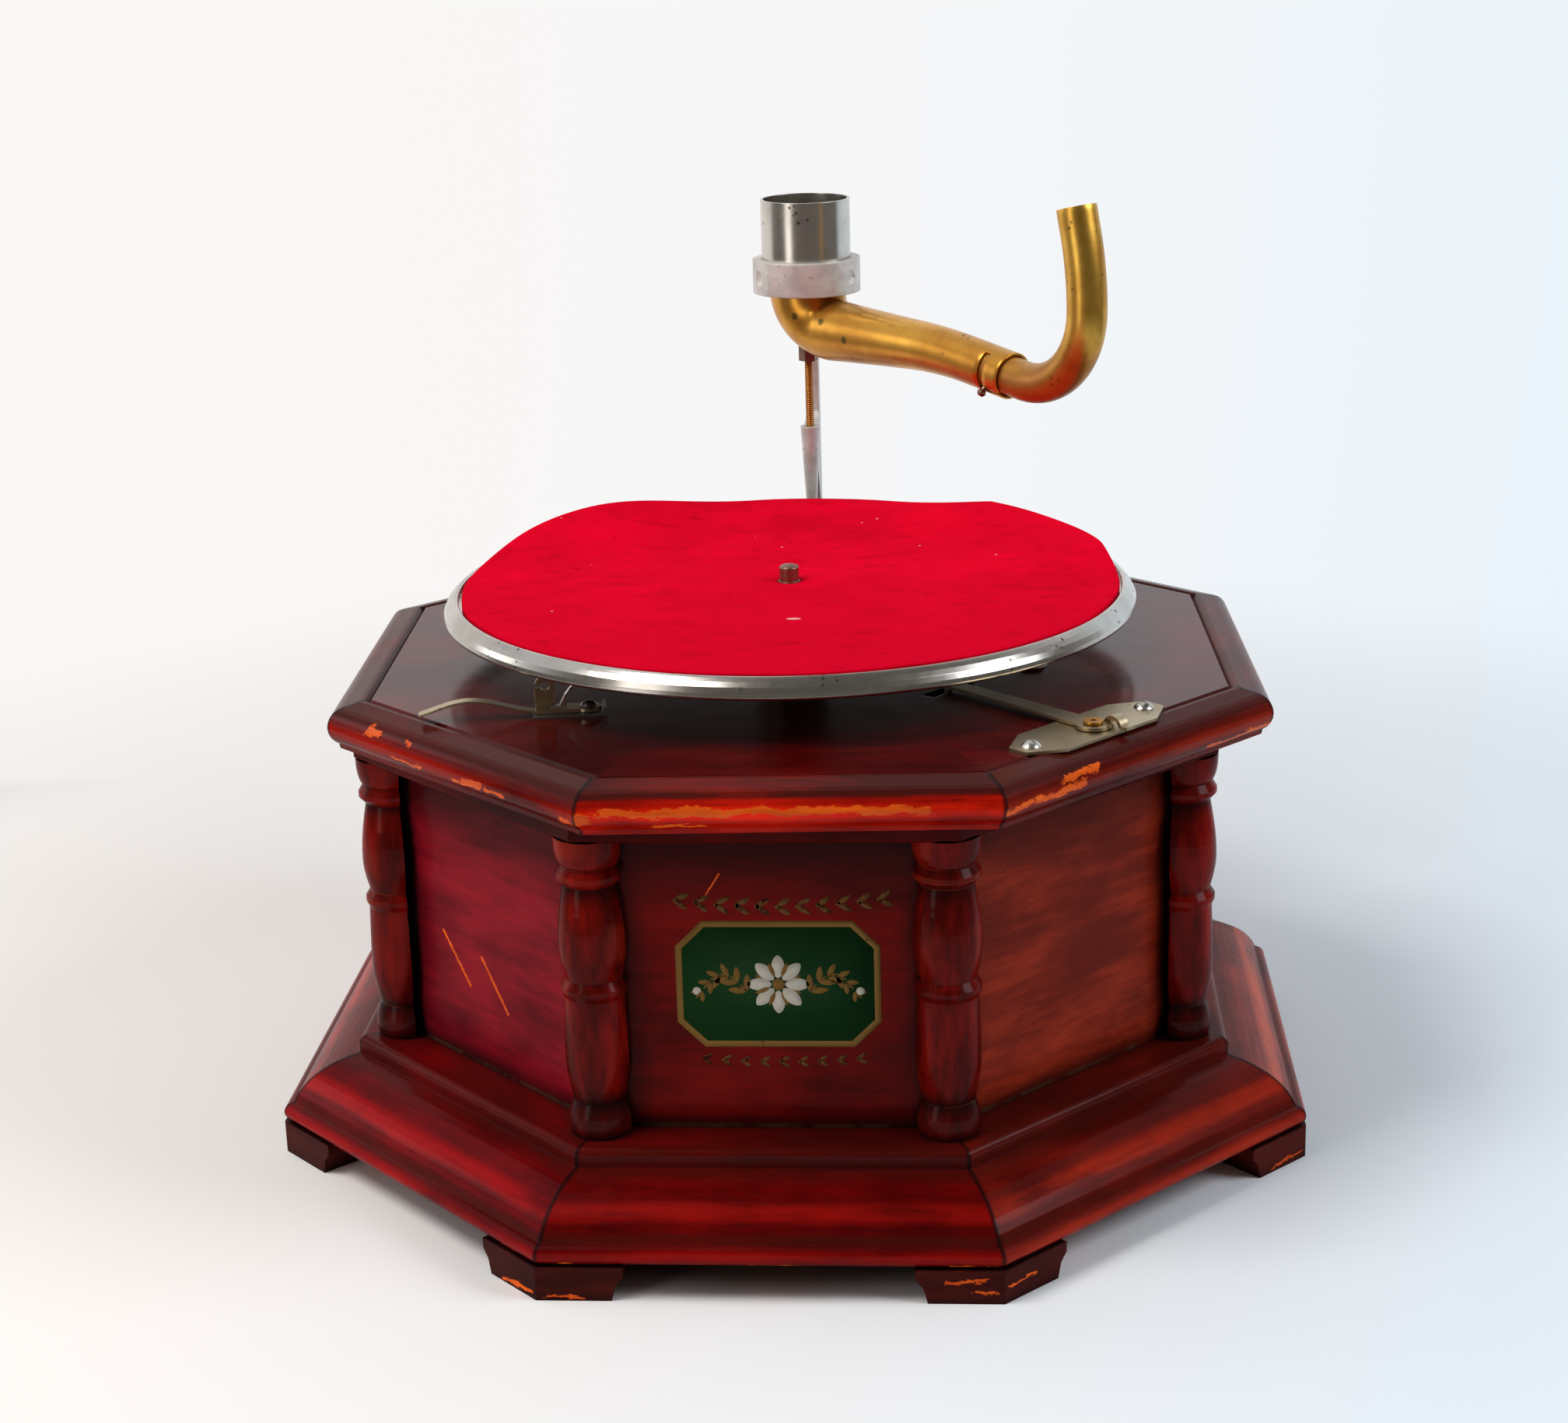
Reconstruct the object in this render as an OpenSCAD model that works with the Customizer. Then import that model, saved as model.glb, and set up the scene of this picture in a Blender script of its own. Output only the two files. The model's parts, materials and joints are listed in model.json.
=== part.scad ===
// Octagonal table-top gramophone: moulded cabinet with turned corner columns, spring motor,
// turntable, brake, speed regulator, back bracket, swinging tonearm and turning gooseneck.
// Millimetres, +Z up, front towards -Y, origin on the floor under the spindle.

/* [Cabinet base] */
// Height of the bracket feet
foot_h = 12; // [8:1:18]
// Length of a foot along each face, measured from its corner at the floor
foot_l = 25; // [18:1:34]
// How much longer a foot is where it meets the plinth
foot_flare = 4; // [0:0.5:8]
// Thickness of the bracket feet
foot_t = 20; // [12:1:26]
// Width of the plinth across its flats
plinth_flats = 370; // [350:1:400]
// Height of the plinth moulding
plinth_h = 29; // [26:1:36]
// Width across flats of the plinth's level top
plinth_top_flats = 314; // [306:1:326]
// Radius of the half-round bead on the plinth
bead_r = 3.5; // [2:0.25:5]
// Height of the rounded band at the top of the plinth
band_h = 7; // [5:0.5:10]
// Thickness of the bottom board
base_t = 12; // [8:1:16]

/* [Cabinet walls] */
// Width across the outer faces of the side panels
panel_flats = 280; // [272:1:290]
// Thickness of the side panels
panel_t = 9; // [6:0.5:12]
// Height of the corner columns
column_h = 106; // [104:1:130]
// Largest radius of a column
column_r = 11.8; // [10:0.1:13]
// Radius of a column at its necks
column_neck_r = 9; // [7:0.1:9.6]
// Distance of the column axes from the middle of the cabinet
column_ring_r = 152.7; // [151.7:0.1:155]
// Height of the frieze strip under the top
frieze_h = 7; // [4:0.5:10]
// Width across flats of the frieze
frieze_flats = 305; // [298:1:316]

/* [Cabinet top] */
// Width of the top across its flats
top_flats = 330; // [324:1:350]
// Thickness of the top
top_t = 16; // [12:0.5:20]
// Width across flats of the groove round the top panel
groove_flats = 302; // [296:1:308]
// Depth of the groove
groove_depth = 1.2; // [0.6:0.1:2]
// Turn of the old top on its cabinet, in degrees
top_turn = 1.9; // [-3:0.1:3]
// Shift of the old top to the right of its cabinet
top_shift = 4; // [-4:0.5:4]

/* [Turntable] */
// Outer radius of the platter's rim
platter_r = 127; // [122:0.5:132]
// Height of the platter's web above the deck
platter_lift = 20.4; // [17:0.1:24]
// Thickness of the platter's web
web_t = 1.6; // [1.2:0.1:3]
// Width of the flared rim
rim_w = 5.5; // [4:0.25:8]
// Drop of the rim's rolled edge below the web
rim_drop = 3.6; // [3:0.1:6]
// Radius of the platter's hub
hub_r = 14; // [10:0.5:20]
// Thickness of the felt mat
felt_t = 2.6; // [1.5:0.1:4]
// Height of the lifted rear edge of the felt
felt_lift = 2; // [0:0.25:6]
// Further height of the felt's curled rear left corner
felt_curl = 8.4; // [0:0.2:10]
// Radius of the record spindle
spindle_r = 3.6; // [3:0.1:4]
// Height of the record spindle above the felt
spindle_rise = 6.2; // [6:0.1:14]
// Radius of the motor spindle below the platter
shaft_r = 4.5; // [4.3:0.1:6]

/* [Deck levers] */
// Distance of the regulator's rivet from the spindle
regulator_ring_r = 151.5; // [148:0.5:152]
// Distance between the regulator plate's screws
regulator_screws_l = 57; // [50:0.5:64]
// Width of the regulator plate
regulator_w = 22; // [18:0.5:24]
// Length of the regulator lever inside the rivet
regulator_reach = 68.5; // [64:0.5:72]
// Width of the regulator lever
regulator_lever_w = 8; // [6:0.5:10]
// Thickness of the lever strips and plates on the deck
sheet_t = 1.2; // [0.8:0.1:2]
// Radius of the speed pin under the regulator lever
speed_pin_r = 1.5; // [1:0.1:2]
// Swing of the regulator lever to each side, in degrees
regulator_swing = 7; // [4:1:8]
// Position of the brake's pivot screw to the left of the spindle
brake_x = 64.5; // [60:0.5:70]
// Position of the brake's pivot screw in front of the spindle
brake_y = 83.5; // [78:0.5:86]
// Length of the brake's finger strip
brake_finger_l = 41; // [36:1:46]
// Width of the brake strip
brake_w = 7; // [5:0.5:9]
// Height of the brake's upright tab
brake_tab_h = 10.5; // [7:0.5:11]
// Radius of the deck screws' heads
screw_head_r = 3.6; // [2.5:0.1:4.5]

/* [Bracket and horn socket] */
// Distance of the tonearm pivot behind the spindle
pivot_y = 150; // [148:0.5:151]
// Height of the ring's underside above the deck
ring_rise = 108.5; // [100:0.5:120]
// Height of the bracket's ring
ring_h = 13.5; // [12:0.5:18]
// Outer radius of the bracket's ring
ring_r = 22; // [21:0.1:23]
// Outer radius of the horn socket tube
socket_r = 18.2; // [17.6:0.1:19]
// Wall of the horn socket tube
socket_wall = 1; // [0.8:0.1:1.4]
// Height of the socket tube above the ring
socket_rise = 24; // [16:1:36]
// Thickness of the bracket's upright
bracket_t = 5.5; // [4:0.5:8]
// Depth of the bracket's upright from front to back
bracket_depth = 11; // [8:0.5:13]
// Width of the bracket's pivot lug
lug_w = 8; // [8:0.5:11]
// Height of the pivot lug's top above the deck
lug_rise = 52; // [46:0.5:58]
// Width of the bracket's foot
bracket_foot_w = 34; // [28:1:44]
// Height of the bracket's foot
bracket_foot_h = 46; // [36:1:60]
// Radius of the pivot screw
pivot_screw_r = 1.8; // [1.8:0.1:2.8]
// Width of the hexagonal pivot nut across its flats
pivot_nut_flats = 7; // [7:0.1:10]

/* [Tonearm] */
// Direction of the tonearm from +X, in degrees
arm_angle = -48; // [-60:1:-40]
// Radius of the tonearm where it enters the ring
arm_top_r = 15.7; // [14.5:0.1:16]
// Radius of the elbow's bend
elbow_bend_r = 18; // [17:0.5:20]
// Radius of the tonearm after the elbow
elbow_end_r = 12.4; // [11:0.1:13.5]
// Radius of the tonearm at its sleeve
sleeve_r = 9; // [8.8:0.1:9.6]
// Distance from the pivot to the start of the sleeve
arm_l = 102; // [94:1:112]
// Length of the sleeve
sleeve_l = 22; // [20:1:28]
// Downward slope of the sleeve, in degrees
arm_droop = 8; // [5:1:12]
// Wall of the tonearm and the gooseneck
tube_wall = 0.9; // [0.6:0.1:1.2]
// Outer radius of the gooseneck
neck_r = 7.5; // [7:0.05:7.6]
// Radius of the gooseneck's bend
neck_bend_r = 30; // [24:1:36]
// Radius of the gooseneck's backward lean
neck_lean_r = 117; // [90:1:200]
// Angle of the gooseneck's backward lean, in degrees
neck_lean = 14; // [8:1:22]
// Radius of the bayonet pin
bayonet_pin_r = 1.2; // [1:0.1:1.8]
// Turn that the bayonet slot allows, in degrees
bayonet_turn = 95; // [60:5:110]
// Place of the bayonet pin round the sleeve from its underside, in degrees
bayonet_at = -40; // [-80:1:40]

/* [Motor] */
// Gap between the top and the motor's upper plate
motor_drop = 13; // [11:0.5:16]
// Thickness of the motor plates
motor_plate_t = 3; // [2:0.5:5]
// Distance between the motor plates
pillar_h = 107; // [104:1:109]
// Radius of the motor pillars
pillar_r = 4; // [3:0.5:5]
// Module of the gear teeth
gear_m = 1; // [0.9:0.05:1.05]
// Module of the governor gears
governor_m = 0.8; // [0.75:0.05:0.8]
// Play between meshing teeth
gear_play = 0.45; // [0.3:0.05:0.6]
// Teeth of the great wheel on the barrel
barrel_teeth = 96; // [90:1:98]
// Teeth of the intermediate wheel
intermediate_teeth = 72; // [68:1:74]
// Teeth of the driving pinions
pinion_teeth = 12; // [11:1:13]
// Teeth of the governor wheel
governor_wheel_teeth = 90; // [86:2:92]
// Teeth of the governor pinion
governor_pinion_teeth = 10; // [10:2:12]
// Teeth of the winding wheel
winding_wheel_teeth = 28; // [24:2:30]
// Teeth of the winding pinion
winding_pinion_teeth = 14; // [12:2:16]
// Distance of the barrel from the spindle
barrel_x = 68; // [66:0.5:72]
// Radius of the spring barrel
barrel_r = 44; // [40:0.5:44]
// Height of the spring barrel
barrel_h = 26; // [20:1:30]
// Wall of the spring barrel
barrel_wall = 2; // [1.5:0.25:3]
// Turns of the mainspring
mainspring_turns = 12; // [8:1:16]
// Thickness of the mainspring
mainspring_t = 0.7; // [0.5:0.1:1]
// Radius of the barrel arbor
arbor_r = 6; // [5:0.5:8]
// Radius of the winding shaft
winding_r = 5; // [4.5:0.25:6]
// Radius of the winding shaft's socket for the crank
winding_bore_r = 3.2; // [2.5:0.1:3.5]
// Radius of the governor shaft
governor_r = 2.2; // [1.8:0.1:2.4]
// Radius of the governor disc
governor_disc_r = 12; // [10:0.5:13]
// Distance of the governor disc from the spindle
governor_disc_y = 58; // [56:0.5:62]

/* [Fits] */
// Gap left at glued and mitred joints
joint_gap = 0.1; // [0.05:0.05:0.2]
// Radial clearance of a shaft in its bearing
run_gap = 0.05; // [0.02:0.01:0.08]
// Clearance round parts that pass without touching
pass_gap = 1; // [0.6:0.1:1.5]
// Gap between parts that slide over each other
slide_gap = 0.3; // [0.2:0.05:0.4]

/* [Hidden] */
$fn = 64;
SIDE = ["right", "back_right", "back", "back_left", "left", "front_left", "front", "front_right"];
PANELS = [for (s = SIDE) str("panel_", s)];
COLUMNS = [for (k = [1:8]) str("column_", k)];

// Half angle of one side of the octagon
half_side = 22.5;
side_tan = tan(half_side);
mahogany = [0.42, 0.06, 0.04];
brass = [0.78, 0.56, 0.18];
nickel = [0.8, 0.8, 0.78];
steel = [0.55, 0.55, 0.56];
casting = [0.72, 0.71, 0.68];

// Levels of the cabinet
plinth_top = foot_h + plinth_h;
base_top = foot_h + base_t;
frieze_z = plinth_top + column_h;
top_z = frieze_z + frieze_h;
deck_z = top_z + top_t;
panel_d = panel_flats / 2;
panel_in = panel_d - panel_t;
// Distance of the columns' flat backs from the middle, at the panels' corners
column_flat = panel_d / cos(half_side) + joint_gap;

// Levels of the turntable
web_z = deck_z + platter_lift;
felt_z = web_z + web_t;
felt_top = felt_z + felt_t;
felt_r = platter_r - rim_w - slide_gap;
// Radius of the spindle inside the felt's hole
seat_r = spindle_r + 0.4;
rim_rise = felt_t * 0.8;

// Parts of a column, from the plinth upwards
block_h = 11.5;
waist_h = 38;
ring_band_h = 6.5;
cap_h = 10.5;
bead_h = 6.5;
baluster_h = column_h - block_h - waist_h - ring_band_h - cap_h - bead_h;

// Places and sizes of the deck levers
deck_screw_r = 1.6;
brake_tab_x = 14.7;
regulator_inset = 2.2;
rivet_r = 2;
rivet_head_r = 3.4;

// Levels of the bracket and the arm
ring_z = deck_z + ring_rise;
lug_z = deck_z + lug_rise;
bracket_y = top_flats / 2 + 3.5;
bracket_foot_t = 7;
bracket_foot_z = frieze_z - 2 - bracket_foot_h;
foot_screw_r = 2;
FOOT_SCREWS = [for (x = [-1, 1], z = [7, bracket_foot_h - 7])
    [x * (bracket_foot_w / 2 - 6), bracket_foot_z + z]];
// Length of the pivot screw inside its lug
screw_hold = 12;
socket_top = ring_z + ring_h + socket_rise;
bush_z = ring_z + 2;
bush_h = 10;
bush_r = socket_r - socket_wall - 0.3;
arm_z = ring_z + 3.5 - elbow_bend_r;
neck_spigot_l = sleeve_l - 4;
// Radius of the gooseneck's spigot inside the sleeve
spigot_r = sleeve_r - tube_wall - run_gap;
bayonet_in = 9;

// Levels of the motor
motor_top = top_z - motor_drop;
motor_under = motor_top - motor_plate_t;
lower_top = motor_under - pillar_h;
barrel_z = lower_top + 5;
barrel_top = barrel_z + barrel_h;
cover_t = 2;
wheel_h = 3.5;
intermediate_z = barrel_top + cover_t + 3;
winding_wheel_z = intermediate_z + wheel_h + 10;
winding_disc_t = 4;
winding_pitch_z = winding_wheel_z + winding_disc_t + 1.2 * gear_m;
winding_z = winding_pitch_z + gear_m * winding_pinion_teeth / 2;
winding_face = 3.6;
winding_pitch_r = gear_m * winding_wheel_teeth / 2;
governor_disc_t = 4;
governor_wheel_top = motor_under - 10;
governor_pitch_z = governor_wheel_top - governor_disc_t - 1.2 * governor_m;
governor_z = governor_pitch_z - governor_m * governor_pinion_teeth / 2;
governor_pitch_r = governor_m * governor_wheel_teeth / 2;
governor_face = 3.2;
governor_end = 112;
bearing_t = 4;
inner_bearing_y = governor_pitch_r + governor_face / 2 + 5;
outer_bearing_y = governor_end - bearing_t - 1;
collar_y = outer_bearing_y - 9;

// Places of the gear arbors, from the centre distances of the meshing pairs
spindle_to_intermediate = gear_m * (pinion_teeth + intermediate_teeth) / 2;
intermediate_to_barrel = gear_m * (pinion_teeth + barrel_teeth) / 2;
along = (pow(spindle_to_intermediate, 2) - pow(intermediate_to_barrel, 2) + pow(barrel_x, 2)) / (2 * barrel_x);
intermediate_at = [along, sqrt(pow(spindle_to_intermediate, 2) - along * along)];
intermediate_dir = atan2(intermediate_at.y, intermediate_at.x);
barrel_dir = atan2(-intermediate_at.y, barrel_x - intermediate_at.x);
intermediate_r = gear_m * intermediate_teeth / 2;
barrel_wheel_r = gear_m * barrel_teeth / 2;

// Motor pillars and hanging bolts
pillar_out = barrel_wheel_r + pillar_r + 6;
PILLARS = [[-46, 30], [-46, -30], [barrel_x, pillar_out], [barrel_x - 24, -pillar_out + 6]];
BOLTS = [[-48, 0], [barrel_x + 20, 42], [barrel_x + 20, -28]];
bolt_r = 3;
bolt_head_h = 2.5;

// Place of the speed pin and the friction lever that it works
pin_ring_r = regulator_ring_r - regulator_reach;
friction_reach = 40;
friction_at = (pin_ring_r - friction_reach) * [cos(-45), sin(-45)];
friction_z = motor_top + 2;
friction_t = 2;
friction_pin_r = 2;
pad_at = [4, -governor_disc_y - 10.2];

// Points of an arc round a centre
function arc(c, r, a0, a1, n) =
    [for (i = [0:n]) c + r * [cos(a0 + (a1 - a0) * i / n), sin(a0 + (a1 - a0) * i / n)]];

// Points of a turned swelling between two necks: radius first, height second
function swelling(z0, r0, zm, rm, z1, r1, n) = concat(
    [for (i = [0:n]) [r0 + (rm - r0) * sin(90 * i / n), z0 + (zm - z0) * i / n]],
    [for (i = [1:n]) [r1 + (rm - r1) * cos(90 * i / n), zm + (z1 - zm) * i / n]]);

// Outline of a toothed wheel
function teeth(n, m, play) = let(
    r = m * n / 2,
    tip = r + 0.8 * m,
    root = r - 1.2 * m,
    half = PI * m / 4 - play / 2,
    at_tip = (half - 0.27 * m) / tip * 180 / PI,
    at_root = (half + 0.12 * m) / root * 180 / PI)
    [for (i = [0:n - 1], p = [[root, -at_root], [tip, -at_tip], [tip, at_tip], [root, at_root]])
        p[0] * [cos(360 * i / n + p[1]), sin(360 * i / n + p[1])]];

// Turn that brings a wheel into mesh with a wheel that has a tooth at angle 0
function mesh_turn(direction, driver, driven) =
    direction + 180 + direction * driver / driven - 180 / driven;

module octagon(flats) {
    rotate(half_side)
        circle(r = flats / 2 / cos(half_side), $fn = 8);
}

// Slice of the cabinet that one side fills, less half a joint at each mitre
module side_slice(reach, height) {
    linear_extrude(height)
        polygon([[joint_gap, 0], [reach + joint_gap, -reach * side_tan], [reach + joint_gap, reach * side_tan]]);
}

// Eight mitred lengths of a moulding, from its section: distance from the middle and height
module mitred_ring(section, flats, height) {
    for (k = [0:7])
        rotate(45 * k)
            intersection() {
                rotate([90, 0, 0])
                    linear_extrude(flats, center = true)
                        polygon(section);
                side_slice(flats, height);
            }
}

// Wheel whose teeth stand up from its face, with its pitch plane at z = 0
module face_wheel(n, m, face, disc_t) {
    r = m * n / 2;
    half = PI * m / 4 - gear_play / 2;
    translate([0, 0, -1.2 * m - disc_t])
        cylinder(r = r + face / 2, h = disc_t);
    for (i = [0:n - 1])
        rotate(360 * i / n)
            translate([r - face / 2, 0, 0])
                rotate([90, 0, 90])
                    linear_extrude(face)
                        polygon([[-half - 0.1 * m, -1.5 * m], [half + 0.1 * m, -1.5 * m],
                            [half - 0.27 * m, 0.8 * m], [-half + 0.27 * m, 0.8 * m]]);
}

// Domed screw with a slot, its head seated at z = 0
module screw(r, shank, length) {
    head_h = r * 0.55;
    difference() {
        union() {
            intersection() {
                translate([0, 0, head_h - r * 1.2])
                    sphere(r = r * 1.2);
                cylinder(r = r, h = head_h);
            }
            translate([0, 0, -length])
                cylinder(r = shank, h = length + head_h / 2);
        }
        translate([-r, -r * 0.12, head_h * 0.6])
            cube([2 * r, r * 0.24, head_h]);
    }
}

// CABINET

module base_board() {
    color(mahogany)
        translate([0, 0, foot_h])
            linear_extrude(base_t)
                octagon(panel_flats);
}

module plinth_mouldings() {
    nose = plinth_flats / 2;
    band_d = plinth_top_flats / 2;
    round_r = band_h * 0.4;
    quirk = 1;
    slope_low = [nose - bead_r - 0.5, foot_h + 2 * bead_r + quirk];
    slope_high = [band_d + 3, plinth_top - band_h];
    swell = 0.6;
    slope = [for (t = [0:10:90])
        swell * [slope_high.x + (slope_low.x - slope_high.x) * cos(t),
            slope_low.y + (slope_high.y - slope_low.y) * sin(t)]
        + (1 - swell) * (slope_low + (slope_high - slope_low) * t / 90)];
    section = concat(
        [[panel_d + joint_gap, foot_h]],
        arc([nose - bead_r, foot_h + bead_r], bead_r, -90, 90, 8),
        slope,
        [[band_d + 0.8, plinth_top - band_h + 0.6]],
        arc([band_d - round_r + 0.8, plinth_top - round_r], round_r, 0, 90, 6),
        [[panel_d + joint_gap, plinth_top]]);
    color(mahogany)
        mitred_ring(section, plinth_flats, plinth_top);
}

// Half of a bracket foot: the length along one face, ending in the corner's mitre
module foot_half() {
    corner = plinth_flats / 2 * side_tan;
    intersection() {
        translate([plinth_flats / 2, 0, 0])
            rotate([90, 0, -90])
                linear_extrude(foot_t)
                    polygon([[corner + foot_t, 0], [corner - foot_l, 0],
                        [corner - foot_l - foot_flare * 0.35, foot_h * 0.45],
                        [corner - foot_l - foot_flare, foot_h * 0.7],
                        [corner - foot_l - foot_flare, foot_h], [corner + foot_t, foot_h]]);
        linear_extrude(foot_h)
            polygon([[0, 0], [plinth_flats, 0], [plinth_flats, -plinth_flats * side_tan]]);
    }
}

module bracket_feet() {
    color(mahogany)
        for (k = [0:7])
            rotate(45 * k + 45)
                union() {
                    foot_half();
                    rotate(-45)
                        mirror([0, 1, 0])
                            foot_half();
                }
}

module panel(k) {
    inner = panel_in;
    outer = panel_d;
    color(mahogany)
        difference() {
            rotate(45 * k)
                translate([0, 0, base_top])
                    linear_extrude(top_z - base_top)
                        polygon([[inner, joint_gap - inner * side_tan], [outer, joint_gap - outer * side_tan],
                            [outer, outer * side_tan - joint_gap], [inner, inner * side_tan - joint_gap]]);
            if (k == 0)
                translate([inner - pass_gap, 0, winding_z])
                    rotate([0, 90, 0])
                        cylinder(r = winding_r + pass_gap, h = panel_t + 2 * pass_gap);
        }
}

// Split turning, with its flat back against the corner of the panels
module column(k) {
    block_top = plinth_top + block_h;
    waist_top = block_top + waist_h;
    band_top = waist_top + ring_band_h;
    baluster_top = band_top + baluster_h;
    bead_top = baluster_top + bead_h;
    foot_r = column_r - 1.6;
    waist_r = column_r - 0.7;
    shoulder_r = column_r - 1.3;
    ring_out = column_r - 0.3;
    lip = 0.8;
    bell_r = column_neck_r + 0.8;
    bell_h = cap_h - 2;
    profile = concat(
        [[0, plinth_top]],
        swelling(plinth_top, foot_r, plinth_top + block_h * 0.4, column_r - 0.9,
            block_top, column_neck_r + 0.3, 5),
        swelling(block_top + lip, column_neck_r, block_top + waist_h * 0.42, waist_r,
            waist_top, shoulder_r, 7),
        [[ring_out, waist_top + ring_band_h * 0.35], [ring_out, waist_top + ring_band_h * 0.6]],
        swelling(band_top, column_neck_r + 0.8, band_top + baluster_h * 0.36, column_r,
            baluster_top, column_neck_r + 0.2, 7),
        [[ring_out, baluster_top + bead_h * 0.4], [ring_out, baluster_top + bead_h * 0.65]],
        [for (t = [0:15:90]) [bell_r + (column_r - bell_r) * sin(t),
            bead_top + 0.4 + bell_h * (1 - cos(t)) * 0.6 + t / 90 * bell_h * 0.4]],
        [[column_r, frieze_z], [0, frieze_z]]);
    color(mahogany)
        rotate(45 * k + half_side)
            intersection() {
                translate([column_ring_r, 0, 0])
                    rotate_extrude()
                        polygon(profile);
                translate([column_flat, -2 * column_r, 0])
                    cube([4 * column_r, 4 * column_r, top_z]);
            }
}

module frieze() {
    color(mahogany)
        mitred_ring([[panel_d + joint_gap, frieze_z], [frieze_flats / 2 - 0.8, frieze_z],
            [frieze_flats / 2, frieze_z + 0.8], [frieze_flats / 2, top_z], [panel_d + joint_gap, top_z]],
            frieze_flats, top_z);
}

// Sets the top on the cabinet a little askew, as the old one sits
module at_top() {
    translate([top_shift, 0, 0])
        rotate(top_turn)
            children();
}

module top_panel() {
    half = groove_flats / 2;
    color(mahogany)
        difference() {
            at_top()
                intersection_for (k = [0:3])
                    rotate(45 * k)
                        rotate([90, 0, 0])
                            linear_extrude(2 * groove_flats, center = true)
                                polygon([[-half, top_z], [half, top_z], [half, deck_z - groove_depth],
                                    [half - groove_depth, deck_z], [groove_depth - half, deck_z],
                                    [-half, deck_z - groove_depth]]);
            translate([0, 0, top_z - pass_gap])
                cylinder(r = shaft_r + 2 * pass_gap, h = top_t + 2 * pass_gap);
            for (b = BOLTS)
                translate([b.x, b.y, top_z - pass_gap])
                    cylinder(r = bolt_r + joint_gap, h = top_t + 2 * pass_gap);
            speed_slot(top_z - pass_gap, top_t + 2 * pass_gap);
        }
}

// Curved slot under the regulator lever, for the speed pin
module speed_slot(z, h) {
    half_w = speed_pin_r + pass_gap;
    reach = regulator_swing + 2;
    rotate(-45)
        translate([regulator_ring_r, 0, z])
            rotate(180 - reach)
                rotate_extrude(angle = 2 * reach)
                    translate([regulator_reach - half_w, 0])
                        square([2 * half_w, h]);
}

module top_mouldings() {
    nose = top_flats / 2;
    inner = groove_flats / 2 + joint_gap;
    nose_r = top_t * 0.44;
    shoulder = nose - nose_r;
    section = concat(
        [[inner, top_z], [nose - nose_r * 0.55, top_z]],
        arc([shoulder, deck_z - 1.2 - nose_r], nose_r, -60, 75, 9),
        [[inner + groove_depth + 1.5, deck_z], [inner + groove_depth, deck_z], [inner, deck_z - groove_depth]]);
    color(mahogany)
        at_top()
            mitred_ring(section, top_flats, deck_z);
}

// TURNTABLE

module platter() {
    rim_in = platter_r - rim_w;
    edge_z = web_z - rim_drop;
    lip_z = felt_z + rim_rise;
    section = concat(
        [[shaft_r + run_gap, web_z - 8], [hub_r, web_z - 8], [hub_r, web_z - 2], [hub_r + 2, web_z],
            [rim_in - 1, web_z], [rim_in + 0.8, web_z - 0.6], [platter_r - 2.2, edge_z + 0.8]],
        arc([platter_r - 1.2, edge_z + 1.2], 1.2, -150, 0, 6),
        [for (t = [10:20:90]) [platter_r - (rim_w - 1.4) * sin(t) * sin(t),
            edge_z + 1.6 + (lip_z - edge_z - 1.6) * sin(t)]],
        arc([rim_in + 0.7, lip_z - 0.7], 0.7, 90, 180, 4),
        [[rim_in, felt_z], [shaft_r + run_gap, felt_z]]);
    color(nickel)
        rotate_extrude($fn = 160)
            polygon(section);
}

// Smooth hump round an angle: 1 at the middle, 0 at its ends
function hump(a, middle, half) = abs(a - middle) < half ? pow(cos(90 * (a - middle) / half), 2) : 0;
function felt_edge(a) = felt_lift * hump(a, 92, 92) + felt_curl * hump(a, 133, 34)
    + felt_curl * 0.62 * min(1, 1.7 * hump(a, 38, 36));
function felt_height(r, a) = let(t = max(0, (r / felt_r - 0.62) / 0.38)) felt_edge(a) * t * t * (2 - t);

// Felt disc as rings of points, with the lift of its rear edge
module felt_mat() {
    spokes = 48;
    RINGS = [seat_r + slide_gap, felt_r * 0.6, felt_r * 0.75, felt_r * 0.87, felt_r * 0.95, felt_r];
    count = len(RINGS);
    skin = function(z) [for (r = RINGS, i = [0:spokes - 1])
        [r * cos(360 * i / spokes), r * sin(360 * i / spokes), z + felt_height(r, 360 * i / spokes)]];
    points = concat(skin(felt_top), skin(felt_z));
    under = count * spokes;
    top_faces = [for (j = [0:count - 2], i = [0:spokes - 1], f = [0, 1])
        let(a = j * spokes + i, b = j * spokes + (i + 1) % spokes, c = b + spokes, d = a + spokes)
        f == 0 ? [a, b, c] : [a, c, d]];
    under_faces = [for (f = top_faces) [f[2] + under, f[1] + under, f[0] + under]];
    rim = (count - 1) * spokes;
    wall = [for (i = [0:spokes - 1], f = [0:3])
        let(n = (i + 1) % spokes)
        f == 0 ? [rim + i, rim + n, rim + n + under] : f == 1 ? [rim + i, rim + n + under, rim + i + under]
        : f == 2 ? [n, i, i + under] : [n, i + under, n + under]];
    color("crimson")
        polyhedron(points, concat(top_faces, under_faces, wall));
}

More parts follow.
